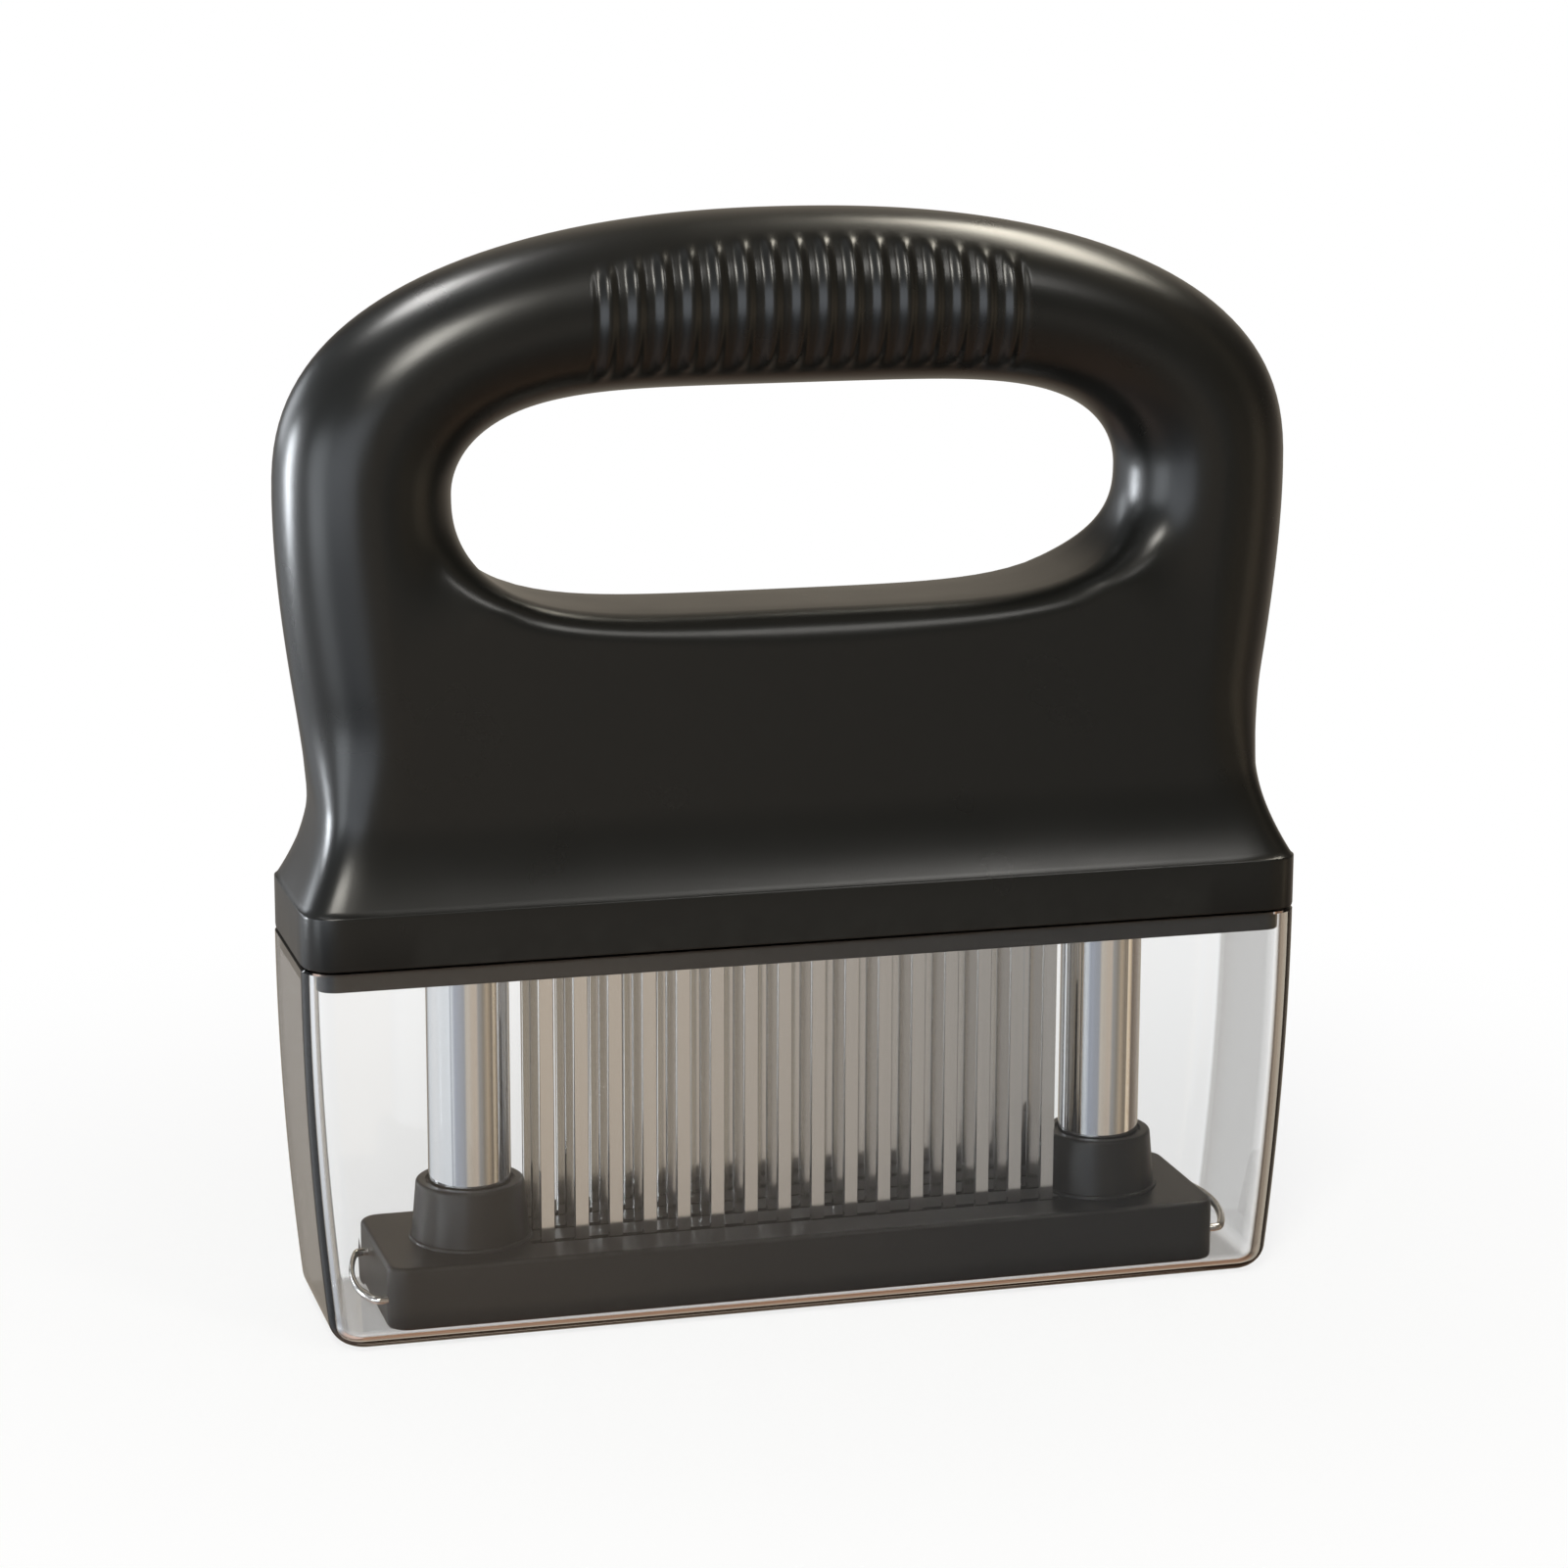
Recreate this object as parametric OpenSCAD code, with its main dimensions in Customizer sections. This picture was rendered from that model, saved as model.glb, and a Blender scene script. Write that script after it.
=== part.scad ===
// Blade meat tenderizer: a loop handle over three rows of knives, a sprung guide
// plate on two posts, and a clear cover that it stands in.
// Millimetres. +Z is up, the cover stands on z = 0 and the front looks along -Y.

/* [Cover] */
// Height of the clear cover, from the table to the underside of the flange
cover_h = 56.8; // [50:0.1:75]
// Wall of the cover
cover_wall = 1.8; // [1.2:0.1:2.2]
// Floor of the cover
cover_floor = 1.5; // [1:0.1:2.4]
// How far each end of the cover draws in from rim to floor
cover_taper = 3.3; // [0:0.1:4]
// How far the front and the back draw in from rim to floor
cover_draft = 0.2; // [0:0.1:0.6]
// Rounding of the cover's bottom edge
cover_edge_r = 3.4; // [2.6:0.1:4]

/* [Handle] */
// Length of the flange that closes the cover
flange_w = 150; // [148:0.1:160]
// Depth of the flange from front to back
flange_d = 33.4; // [33.2:0.1:38]
// Height of the flange's upright band
flange_h = 8; // [7:0.1:11]
// Corner radius of the flange, seen from above
flange_r = 5; // [4.6:0.1:6]
// Step where the skirt leaves the flange
skirt_step = 0.4; // [0.3:0.1:1.2]
// Height of the handle above the underside of its flange
handle_h = 104.6; // [102:0.1:115]
// Width of the handle over its two limbs
handle_w = 151.4; // [149:0.1:162]
// Level of the widest place above the underside of the flange
wide_z = 65; // [62:0.1:68]
// Width at the neck above the skirt
neck_w = 142.2; // [140:0.1:148]
// Level of the neck above the underside of the flange
neck_z = 20.8; // [18:0.1:26]
// Depth of the grip and of the body
grip_d = 25.3; // [24.6:0.1:30]
// Width of the finger hole
hole_w = 100.8; // [92:0.1:104]
// Top of the finger hole above the underside of the flange
hole_top = 79.3; // [76:0.1:82]
// Ledge of the finger hole above the underside of the flange
hole_bottom = 47.6; // [46:0.1:52]
// Rounding of the ledge's edges
hole_edge_r = 4.8; // [3:0.1:9]
// Level at which the flat body turns into the round loop, above the same underside
slab_z = 36; // [32:1:42]

/* [Grip ridges] */
// Ridges across the grip
ridge_count = 16; // [8:2:16]
// Distance between ridges
ridge_pitch = 3.96; // [3:0.01:4]
// Height of a ridge over the groove beside it
ridge_h = 0.7; // [0.2:0.1:1.2]

/* [Base insert] */
// How far the insert's lip reaches down inside the cover
lip_h = 3.4; // [2:0.1:5]
// How far the insert reaches up into the handle
seat_h = 6; // [4:0.1:6.5]

/* [Blades] */
// Blades in each row
blade_count = 16; // [8:1:16]
// Width of a blade
blade_w = 2.3; // [1.6:0.1:2.5]
// Thickness of a blade
blade_t = 0.9; // [0.6:0.1:1.1]
// Distance between rows
row_pitch = 6; // [5.6:0.1:6.2]
// How far the tips stay above the guide's underside
tip_recess = 1.5; // [0.5:0.1:4]
// Length of the slanted tip
tip_l = 2.2; // [1:0.1:4]
// Width of the blade's head
head_w = 3.4; // [2.9:0.1:3.5]
// Height of the blade's head
head_h = 2.5; // [1.5:0.1:3]

/* [Blade block] */
// Thickness of the block's rim under the blade heads
rim_h = 2.5; // [1.5:0.1:3]
// How far the rim stands over the block, front and back
rim_lap = 1.6; // [1:0.1:1.8]
// Thickness of the clamp plate
clamp_t = 1.5; // [1:0.1:2]

/* [Posts] */
// Distance of each post from the guide's end
post_inset = 14.55; // [14:0.05:15]
// Outer diameter of a post
post_d = 12.2; // [11:0.1:12.4]
// Wall of a post
post_wall = 1.4; // [1:0.1:1.5]
// How far the guide plate travels up when the tool is pressed
press_travel = 33; // [20:0.1:33.2]
// Height of the stop collar
collar_h = 2.5; // [1.5:0.1:4]
// Wall of the stop collar
collar_wall = 0.9; // [0.6:0.1:1]
// Wall between a post's bore in the handle and the pocket for the blade heads
bore_wall = 0.875; // [0.8:0.025:1.2]

/* [Guide] */
// Gap between the guide plate and the cover, front and back, near the floor
guide_gap = 1.2; // [0.8:0.1:1.9]
// Thickness of the guide plate
guide_h = 9.5; // [9:0.1:11]
// Corner radius of the guide plate
guide_r = 3; // [1:0.1:5]
// Wall at the top of a boss
boss_wall = 1.9; // [1.4:0.1:2.4]
// How far a boss widens on each side, from its top to its foot
boss_flare = 0.75; // [0.2:0.05:1]
// Height of a boss
boss_h = 8.8; // [6:0.1:9]
// Bead round the foot of a boss
boss_bead = 0.35; // [0.2:0.05:0.6]
// Width of a blade slot
slot_w = 1.5; // [1.3:0.1:1.8]
// How far a slot runs past its last blade
slot_over = 1.3; // [0.5:0.1:1.4]

/* [Clips] */
// Diameter of the clip wire
wire_d = 1.2; // [0.8:0.1:1.3]
// Place of the locking leg behind the middle
lock_y = 4.8; // [4.5:0.1:5]
// Distance of the front leg from the guide's front face
front_inset = 2.7; // [2.4:0.1:3.4]
// Height of the locking leg above the guide's underside
lock_z = 6.5; // [5.5:0.1:6.6]
// How much lower the front leg lies
clip_fall = 2.2; // [0:0.1:2.4]
// How far the loop stands out of the guide's end
clip_out = 4.4; // [4.4:0.1:4.8]
// Gap between the loop and the end of the cover, near the floor
clip_gap = 2; // [1:0.1:2.4]
// Angle of each small bend of the loop
clip_bend = 62; // [50:1:70]
// How far the locking leg reaches into the foot's groove
clip_bite = 2; // [1.5:0.1:2.2]

/* [Springs] */
// Gap between a spring and the inside of its post
spring_play = 0.4; // [0.3:0.05:0.8]
// Wire of a spring
spring_wire = 1.1; // [0.8:0.1:1.2]
// Curls of a spring
spring_curls = 18; // [12:1:22]

/* [Screws] */
// Shank diameter of the screws through the insert
screw_d = 3; // [2.5:0.1:3.2]
// Length of those screws under the head
screw_l = 15; // [12:0.5:18]
// Shank diameter of the screws through the clamp plate
clamp_screw_d = 2.4; // [2:0.1:2.5]
// Length of those screws under the head
clamp_screw_l = 9; // [7:0.5:10]

/* [Fits] */
// Gap between rim and flange, and between guide and cover floor
rest_gap = 0.3; // [0.2:0.05:0.5]
// Gap between the cover's wall and the insert's lip
lip_gap = 0.4; // [0.3:0.05:0.6]
// Gap round parts that are dropped into a pocket
drop_gap = 0.2; // [0.1:0.05:0.3]
// Radial gap of a sliding fit
slide_gap = 0.06; // [0.03:0.01:0.1]
// Radial gap of a fit that is driven together
drive_gap = 0.02; // [0.01:0.01:0.03]

/* [Hidden] */
$fn = 64;
LEFT = -1;
RIGHT = 1;
THROUGH = 1;    // how far a cutter runs past the face that it leaves

// Levels of the flange, the handle and its finger hole
z_flange = cover_h;
z_skirt = z_flange + flange_h;
z_neck = z_flange + neck_z;
z_wide = z_flange + wide_z;
z_top = z_flange + handle_h;
z_hole_top = z_flange + hole_top;
z_ledge = z_flange + hole_bottom;

// The insert fits inside the cover's rim and inside the flange
insert_w = flange_w - 2 * (cover_wall + lip_gap);
insert_d = flange_d - 2 * (cover_wall + lip_gap);
insert_r = flange_r - cover_wall - lip_gap;
z_lip = z_flange - lip_h;
z_seat = z_flange + seat_h;

// The guide fits inside the cover, and the posts stand in the guide
guide_w = flange_w - 2 * (cover_wall + cover_taper + clip_gap + clip_out);
guide_d = flange_d - 2 * (cover_wall + cover_draft + guide_gap);
post_x = guide_w / 2 - post_inset;
post_r = post_d / 2;
tube_r = post_r - post_wall;
collar_r = post_r + collar_wall;
bore_gap = 0.4;      // gap round the collar in the handle
bore_r = collar_r + bore_gap;

// The rows of blades fill the room between the posts
head_gap = 0.15;     // block beyond the last head
row_l = 2 * (post_x - bore_r - bore_wall - drop_gap - head_gap) - head_w;
blade_pitch = row_l / (blade_count - 1);

// The blade block hangs in the insert by its rim
block_w = row_l + blade_w + 2.4;
block_d = 2 * row_pitch + blade_t + 4;
block_end_w = row_l + head_w + 2 * head_gap;
block_drop = 0.6;    // how far the block stays up inside the insert
rim_d = block_d + 2 * rim_lap;
z_block = z_lip + block_drop;
z_rim = z_seat + rim_h;
z_clamp = z_rim + head_h;
clamp_w = block_end_w - 0.2;
clamp_d = block_d + 1.4;
clamp_screw_x = floor(blade_count / 4) * blade_pitch;
clamp_head_d = 1.9 * clamp_screw_d;
clamp_head_h = 0.6 * clamp_screw_d;

// The guide rests just above the cover's floor
z_guide = cover_floor + rest_gap;
z_plate = z_guide + guide_h;
z_boss = z_plate + boss_h;
boss_top_d = post_d + 2 * boss_wall;
boss_base_d = boss_top_d + 2 * boss_flare;
slot_l = row_l + blade_w + 2 * slot_over;

// Each post stands in its foot, and the foot in the guide's boss
foot_floor = 2.5;    // plastic under the foot
foot_gap = 0.1;      // gap under the foot
z_foot = z_guide + foot_floor + foot_gap;
z_shoulder = z_plate + 2.2;
spigot_l = 6;
z_spigot = z_shoulder + spigot_l;
z_collar = z_seat + rest_gap;
post_over = 1.9;     // how far a post stands out of its collar
z_post_top = z_collar + collar_h + post_over;
bore_end = 1;        // space left above a post that is fully pressed
z_bore = z_post_top + press_travel + bore_end;
peg_l = 6;           // peg that centres the top of a spring
spring_gap = 0.1;    // gap between a spring and its seats
spring_ring_r = tube_r - spring_play - spring_wire / 2;
peg_r = spring_ring_r - spring_wire / 2 - 0.3;

// A clip is a wire loop; its rear leg crosses the groove in the post's foot
wire_r = wire_d / 2;
front_y = guide_d / 2 - front_inset;
lock_level = z_guide + lock_z;
front_level = lock_level - clip_fall;
groove_r = lock_y - wire_r - 0.1;
groove_h = wire_d + 0.3;
foot_edge_x = post_x + sqrt(post_r * post_r - lock_y * lock_y);
clip_tip_x = foot_edge_x - clip_bite;
clip_chord = norm([lock_y + front_y, clip_fall]);
clip_tilt = atan2(clip_fall, lock_y + front_y);
clip_small_r = 1.5;
clip_large_r = (clip_chord / 2 - clip_small_r * (1 - cos(clip_bend))) / cos(clip_bend);
clip_rise = clip_small_r * sin(clip_bend) + clip_large_r * (1 - sin(clip_bend));
clip_bend_x = guide_w / 2 + clip_out - wire_r - clip_rise;

// Screws
screw_inset = 6.8;   // from the insert's end to the screws
screw_x = insert_w / 2 - screw_inset;
screw_y = 8;
screw_head_d = 1.93 * screw_d;
screw_head_h = 0.63 * screw_d;
screw_sink = screw_head_h + 0.3;

// ---------------------------------------------------------------- helpers

function lerp(a, b, f) = a + (b - a) * f;
function smooth(f) = f * f * (3 - 2 * f);
function unit(v) = v / norm(v);
function mirror_x(p) = [-p[0], p[1], p[2]];

module rounded_plate(w, d, r, h) {
    linear_extrude(height = h)
        union() {
            square([w - 2 * r, d], center = true);
            square([w, d - 2 * r], center = true);
            for (x = [-1, 1], y = [-1, 1])
                translate([x * (w / 2 - r), y * (d / 2 - r)]) circle(r = r);
        }
}

module centred_box(w, d, h) {
    translate([-w / 2, -d / 2, 0]) cube([w, d, h]);
}

module at_screws(x, y) {
    for (sx = [-1, 1], sy = [-1, 1])
        translate([sx * x, sy * y, 0]) children();
}

// ---------------------------------------------------------------- clear cover

// Points of one level of the cover: a rectangle with round corners
CORNER_STEPS = 6;
function level(w, d, r, z) = [
    for (q = [[1, 1, 0], [-1, 1, 90], [-1, -1, 180], [1, -1, 270]], i = [0 : CORNER_STEPS])
        let (a = q[2] + 90 * i / CORNER_STEPS)
        [q[0] * (w / 2 - r) + r * cos(a), q[1] * (d / 2 - r) + r * sin(a), z]
];

// How far a round bottom edge of radius r draws in at height h above its lowest point
function edge_inset(r, h) = h >= r ? 0 : r - sqrt(max(0, r * r - (r - h) * (r - h)));

// One level of the cover's outside (wall 0), with its round bottom edge, or of its inside
cover_rim = z_flange - rest_gap;
function cover_level(z, wall) =
    let (t = (cover_rim - z) / cover_rim)
    let (inset = wall + (wall == 0 ? edge_inset(cover_edge_r, z) : 0))
    level(flange_w - 2 * (cover_taper * t * t + inset),
          flange_d - 2 * (cover_draft * t + inset),
          flange_r - inset, z);

EDGE_LEVELS = 4;
WALL_LEVELS = 8;
// Heights of the round edge's levels that lie below the floor's top, and above it
edge_heights = [for (i = [0 : EDGE_LEVELS - 1]) cover_edge_r * (1 - cos(90 * i / EDGE_LEVELS))];
floor_heights = concat([for (z = edge_heights) if (z < cover_floor) z], [cover_floor]);
wall_heights = concat(
    [cover_floor],
    [for (z = edge_heights) if (z > cover_floor) z],
    [for (i = [0 : WALL_LEVELS]) lerp(max(cover_edge_r, cover_floor), cover_rim, i / WALL_LEVELS)]
);

// Triangles between each level and the next; n points on a level
function level_walls(levels, n) = [
    for (i = [0 : levels - 2], j = [0 : n - 1])
        let (k = (j + 1) % n)
        each [[i * n + j, i * n + n + j, i * n + n + k], [i * n + j, i * n + n + k, i * n + k]]
];

// The cover is moulded in one with its floor; the floor is a node of its own because the
// walls go round the space for the tool
module cover_floor() {
    levels = [for (z = floor_heights) cover_level(z, 0)];
    n = len(levels[0]);
    last = (len(levels) - 1) * n;
    caps = [[for (j = [0 : n - 1]) j], [for (j = [n - 1 : -1 : 0]) last + j]];
    color([0.85, 0.87, 0.88, 0.35])
        polyhedron(points = [for (l = levels) each l],
                   faces = concat(level_walls(len(levels), n), caps));
}

module cover() {
    up = len(wall_heights);
    levels = concat(
        [for (z = wall_heights) cover_level(z, 0)],
        [for (i = [up - 1 : -1 : 0]) cover_level(wall_heights[i], cover_wall)],
        [cover_level(wall_heights[0], 0)]
    );
    n = len(levels[0]);
    rings = len(levels) - 1;
    // The last level is the first one again, which closes the wall at the floor
    color([0.85, 0.87, 0.88, 0.35])
        polyhedron(points = [for (i = [0 : rings - 1]) each levels[i]],
                   faces = [for (f = level_walls(rings + 1, n)) [for (k = f) k % (rings * n)]]);
}

// ---------------------------------------------------------------- handle

// Outline exponents: the loop and the hole are rounded rectangles of the superellipse kind
LOOP_M = 2.2;
LOOP_N = 2.5;
HOLE_M = 4.8;
HOLE_N = 2;
LEDGE_M = 5.2;
LEDGE_N = 2.6;

function loop_point(a) = [
    handle_w / 2 * pow(cos(a), 2 / LOOP_M),
    z_wide + (z_top - z_wide) * pow(sin(a), 2 / LOOP_N)
];
function hole_point(a) = [
    hole_w / 2 * pow(cos(a), 2 / HOLE_M),
    z_wide + (z_hole_top - z_wide) * pow(sin(a), 2 / HOLE_N)
];
function ledge_point(a) = [
    hole_w / 2 * pow(cos(a), 2 / LEDGE_M),
    z_wide - (z_wide - z_ledge) * pow(sin(a), 2 / LEDGE_N)
];
// Angle at which an outline of the given half width and exponent passes x
function angle_at(x, half, m) = acos(pow(x / half, m / 2));

// The side runs in from the widest place to the neck and out again in the skirt
base_w = flange_w - 2 * skirt_step;
base_d = flange_d - 2 * skirt_step;
SKIRT_SINK = 0.6;    // how far the skirt's foot lies inside the flange
z_base = z_skirt - SKIRT_SINK;
SKIRT_POWER = 1.8;
SIDE_POWER = 1.2;
function skirt(z) = pow(max(0, (z_neck - z) / (z_neck - z_base)), SKIRT_POWER);
function side_x(z) = z < z_neck
    ? lerp(neck_w, base_w, skirt(z)) / 2
    : lerp(neck_w, handle_w, pow(sin(90 * (z - z_neck) / (z_wide - z_neck)), SIDE_POWER)) / 2;
function depth(z) = lerp(grip_d, base_d, skirt(z)) / 2;

// A section runs from the outside of the loop to the finger hole. It is
// [outer point, hole point, share of the slab form, corner exponent, on the base, ridge]
SHOULDER_SECTIONS = 9;
BLEND_SECTIONS = 5;
SIDE_SECTIONS = 6;
BASE_SECTIONS = 6;
ROUND_CORNER = 2;
FLANGE_CORNER = 8;
z_slab = z_flange + slab_z;
BLEND_ANGLE = 50;
SIDE_ANGLE = 70;

grip_sections = [
    for (k = [0 : ridge_count])
        let (x = k * ridge_pitch / 2)
        [loop_point(angle_at(x, handle_w / 2, LOOP_M)), hole_point(angle_at(x, hole_w / 2, HOLE_M)),
         0, ROUND_CORNER, false, k == ridge_count ? 0 : (k % 2 == 1 ? 0.6 : -0.4) * ridge_h]
];
grip_end = ridge_count * ridge_pitch / 2;
shoulder_sections = [
    for (k = [1 : SHOULDER_SECTIONS])
        let (f = 1 - k / SHOULDER_SECTIONS)
        [loop_point(f * angle_at(grip_end, handle_w / 2, LOOP_M)),
         hole_point(f * angle_at(grip_end, hole_w / 2, HOLE_M)), 0, ROUND_CORNER, false, 0]
];
blend_sections = [
    for (k = [1 : BLEND_SECTIONS])
        let (f = k / BLEND_SECTIONS, z = lerp(z_wide, z_slab, f))
        [[side_x(z), z], ledge_point(BLEND_ANGLE * f), smooth(f), ROUND_CORNER, false, 0]
];
side_sections = [
    for (k = [1 : SIDE_SECTIONS])
        let (f = k / SIDE_SECTIONS, z = z_base + (z_slab - z_base) * pow(1 - f, 1.4))
        [[side_x(z), z], ledge_point(lerp(BLEND_ANGLE, SIDE_ANGLE, f)), 1,
         lerp(ROUND_CORNER, FLANGE_CORNER, pow((z_slab - z) / (z_slab - z_base), 1.5)), false, 0]
];
base_sections = [
    for (k = [1 : BASE_SECTIONS])
        let (x = (base_w / 2 - base_d / 2 - 2) * (BASE_SECTIONS - k) / (BASE_SECTIONS - 1))
        let (hx = ledge_point(SIDE_ANGLE)[0] * (1 - k / BASE_SECTIONS))
        [[x, z_base], ledge_point(angle_at(hx, hole_w / 2, LEDGE_M)), 1, ROUND_CORNER, true, 0]
];
half_sections = concat(grip_sections, shoulder_sections, blend_sections, side_sections, base_sections);

// Points of one section from the outside (0) along the front to the hole (LAST)
OUTER_STEPS = 4;
FACE_STEPS = 7;
HOLE_STEPS = 4;
LAST = OUTER_STEPS + FACE_STEPS + HOLE_STEPS;

// Round form: an ellipse about the middle of the section, with the ridges on its front
function ridge_window(a) = smooth(min(1, max(0, (a - 42) / 16))) * smooth(min(1, max(0, (146 - a) / 18)));
function round_point(s, j) =
    let (a = 180 * j / LAST, middle = (s[0] + s[1]) / 2, reach = (s[0] - s[1]) / 2)
    let (grow = s[5] * ridge_window(a))
    let (p = middle + reach * cos(a) * (1 + grow / norm(reach)))
    [p[0], -sin(a) * (grip_d / 2 + grow), p[1]];

// Slab form: a round outer corner, a flat face and a round edge at the hole
function corner_point(s, j) =
    let (a = 90 * j / OUTER_STEPS, d = depth(s[0][1]), e = 2 / s[3])
    s[4]
        ? [s[0][0], -d * j / OUTER_STEPS, s[0][1]]
        : [s[0][0] - d * (1 - pow(cos(a), e)), -d * pow(sin(a), e), s[0][1]];
function hole_edge(s, i) =
    let (a = 90 * max(0, 1 - i / (HOLE_STEPS - 1)))
    let (p = s[1] + unit(s[0] - s[1]) * hole_edge_r * (1 - cos(a)))
    [p[0], i == HOLE_STEPS ? 0 : -(grip_d / 2 - hole_edge_r * (1 - sin(a))), p[1]];
function face_point(s, i) =
    let (p = lerp(corner_point(s, OUTER_STEPS), hole_edge(s, 0), pow(i / FACE_STEPS, 1.5)))
    [p[0], -depth(p[2]), p[2]];
function slab_point(s, j) =
    j <= OUTER_STEPS ? corner_point(s, j)
    : j < OUTER_STEPS + FACE_STEPS ? face_point(s, j - OUTER_STEPS)
    : hole_edge(s, j - OUTER_STEPS - FACE_STEPS);

function front_point(s, j) = lerp(round_point(s, j), slab_point(s, j), s[2]);
function section_loop(s) = concat(
    [for (j = [0 : LAST]) front_point(s, j)],
    [for (j = [LAST - 1 : -1 : 1]) let (p = front_point(s, j)) [p[0], -p[1], p[2]]]
);

module loop_body() {
    right = [for (s = half_sections) section_loop(s)];
    n = len(right);
    loops = concat(right, [for (i = [n - 2 : -1 : 1]) [for (p = right[i]) mirror_x(p)]]);
    rows = len(loops);
    m = len(loops[0]);
    faces = [
        for (i = [0 : rows - 1], j = [0 : m - 1])
            let (a = i * m + j, b = i * m + (j + 1) % m)
            let (c = ((i + 1) % rows) * m + (j + 1) % m, d = ((i + 1) % rows) * m + j)
            each [[a, c, b], [a, d, c]]
    ];
    polyhedron(points = [for (l = loops) each l], faces = faces);
}

module handle() {
    core_wall = 3.6;
    core_rib = 4;
    core_w = 2 * (post_x - bore_r - core_wall);
    core_d = grip_d - 2 * core_wall;
    core_top = z_ledge - 8;
    z_cavity = z_clamp + clamp_t + clamp_head_h + drop_gap;
    pilot_l = screw_l - (seat_h + lip_h - screw_sink) + THROUGH;
    color([0.14, 0.14, 0.13])
        difference() {
            union() {
                loop_body();
                translate([0, 0, z_flange]) rounded_plate(flange_w, flange_d, flange_r, flange_h);
            }
            // recess for the insert
            translate([0, 0, z_flange - THROUGH])
                rounded_plate(insert_w + 2 * drop_gap, insert_d + 2 * drop_gap, insert_r + drop_gap,
                              seat_h + THROUGH);
            // pocket for the block's rim, the blade heads and the clamp plate
            translate([0, 0, z_seat - THROUGH])
                centred_box(block_end_w + 2 * drop_gap, rim_d + 2 * drop_gap, rim_h + THROUGH);
            translate([0, 0, z_seat - THROUGH])
                centred_box(block_end_w + 2 * drop_gap, clamp_d + 2 * drop_gap,
                            z_cavity - z_seat + THROUGH);
            // two cores that keep the walls even, with a rib between them
            for (s = [LEFT, RIGHT])
                translate([s * (core_w + core_rib) / 4, 0, z_cavity - THROUGH])
                    centred_box((core_w - core_rib) / 2, core_d, core_top - z_cavity + THROUGH);
            // bores for the posts, each with a peg for its spring
            for (s = [LEFT, RIGHT])
                translate([s * post_x, 0, 0])
                    difference() {
                        translate([0, 0, z_seat - THROUGH])
                            cylinder(r = bore_r, h = z_bore - z_seat + THROUGH);
                        translate([0, 0, z_bore - peg_l]) cylinder(r = peg_r, h = peg_l + THROUGH);
                    }
            // pilot holes
            at_screws(screw_x, screw_y)
                translate([0, 0, z_seat - THROUGH])
                    cylinder(d = screw_d + 2 * drive_gap, h = pilot_l + THROUGH);
        }
}

// ---------------------------------------------------------------- base insert

module base_insert() {
    color([0.16, 0.16, 0.15])
        difference() {
            translate([0, 0, z_lip]) rounded_plate(insert_w, insert_d, insert_r, lip_h + seat_h);
            translate([0, 0, z_lip - THROUGH])
                centred_box(block_w + drop_gap, block_d + drop_gap, lip_h + seat_h + 2 * THROUGH);
            for (s = [LEFT, RIGHT])
                translate([s * post_x, 0, z_lip - THROUGH])
                    cylinder(r = post_r + slide_gap, h = lip_h + seat_h + 2 * THROUGH);
            at_screws(screw_x, screw_y) {
                translate([0, 0, z_lip - THROUGH])
                    cylinder(d = screw_d + 2 * drop_gap, h = lip_h + seat_h + 2 * THROUGH);
                translate([0, 0, z_lip - THROUGH])
                    cylinder(d = screw_head_d + 2 * drop_gap, h = screw_sink + THROUGH);
            }
        }
}

module cross_slot(size, depth) {
    centred_box(size, size / 4, depth);
    centred_box(size / 4, size, depth);
}

// Pan-head screw with its head at z = 0 and below, and its shank upwards
module screw(d, head_d, head_h, l) {
    difference() {
        union() {
            cylinder(d = d, h = l);
            translate([0, 0, -head_h]) cylinder(d = head_d, h = head_h);
        }
        translate([0, 0, -head_h - THROUGH]) cross_slot(head_d * 0.6, head_h / 2 + THROUGH);
    }
}

module insert_screws() {
    color([0.72, 0.72, 0.7])
        at_screws(screw_x, screw_y)
            translate([0, 0, z_lip + screw_sink]) screw(screw_d, screw_head_d, screw_head_h, screw_l);
}

// ---------------------------------------------------------------- blades and their block

module blade_block() {
    slit_gap = 0.05;
    color([0.2, 0.2, 0.2])
        difference() {
            union() {
                translate([0, 0, z_block]) centred_box(block_w, block_d, z_seat - z_block);
                translate([0, 0, z_seat]) centred_box(block_end_w, rim_d, rim_h);
            }
            for (row = [-1 : 1], i = [0 : blade_count - 1])
                translate([i * blade_pitch - row_l / 2, row * row_pitch, z_block - THROUGH])
                    centred_box(blade_w + 2 * slit_gap, blade_t + 2 * slit_gap,
                                z_rim - z_block + 2 * THROUGH);
            at_screws(clamp_screw_x, row_pitch / 2)
                translate([0, 0, z_rim - (clamp_screw_l - head_h - clamp_t) - drop_gap])
                    cylinder(d = clamp_screw_d + 2 * drive_gap, h = clamp_screw_l);
        }
}

// One row of knives: flat strips with a slanted tip below and a wider head above
module blade_row(y) {
    z_tip = z_guide + tip_recess;
    color([0.78, 0.77, 0.74])
        for (i = [0 : blade_count - 1])
            translate([i * blade_pitch - row_l / 2, y + blade_t / 2, 0])
                rotate([90, 0, 0])
                    linear_extrude(height = blade_t)
                        polygon([
                            [-blade_w / 2, z_tip], [blade_w / 2, z_tip + tip_l],
                            [blade_w / 2, z_rim], [head_w / 2, z_rim],
                            [head_w / 2, z_clamp], [-head_w / 2, z_clamp],
                            [-head_w / 2, z_rim], [-blade_w / 2, z_rim]
                        ]);
}

module front_blades() {
    blade_row(-row_pitch);
}

module middle_blades() {
    blade_row(0);
}

module rear_blades() {
    blade_row(row_pitch);
}

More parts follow.
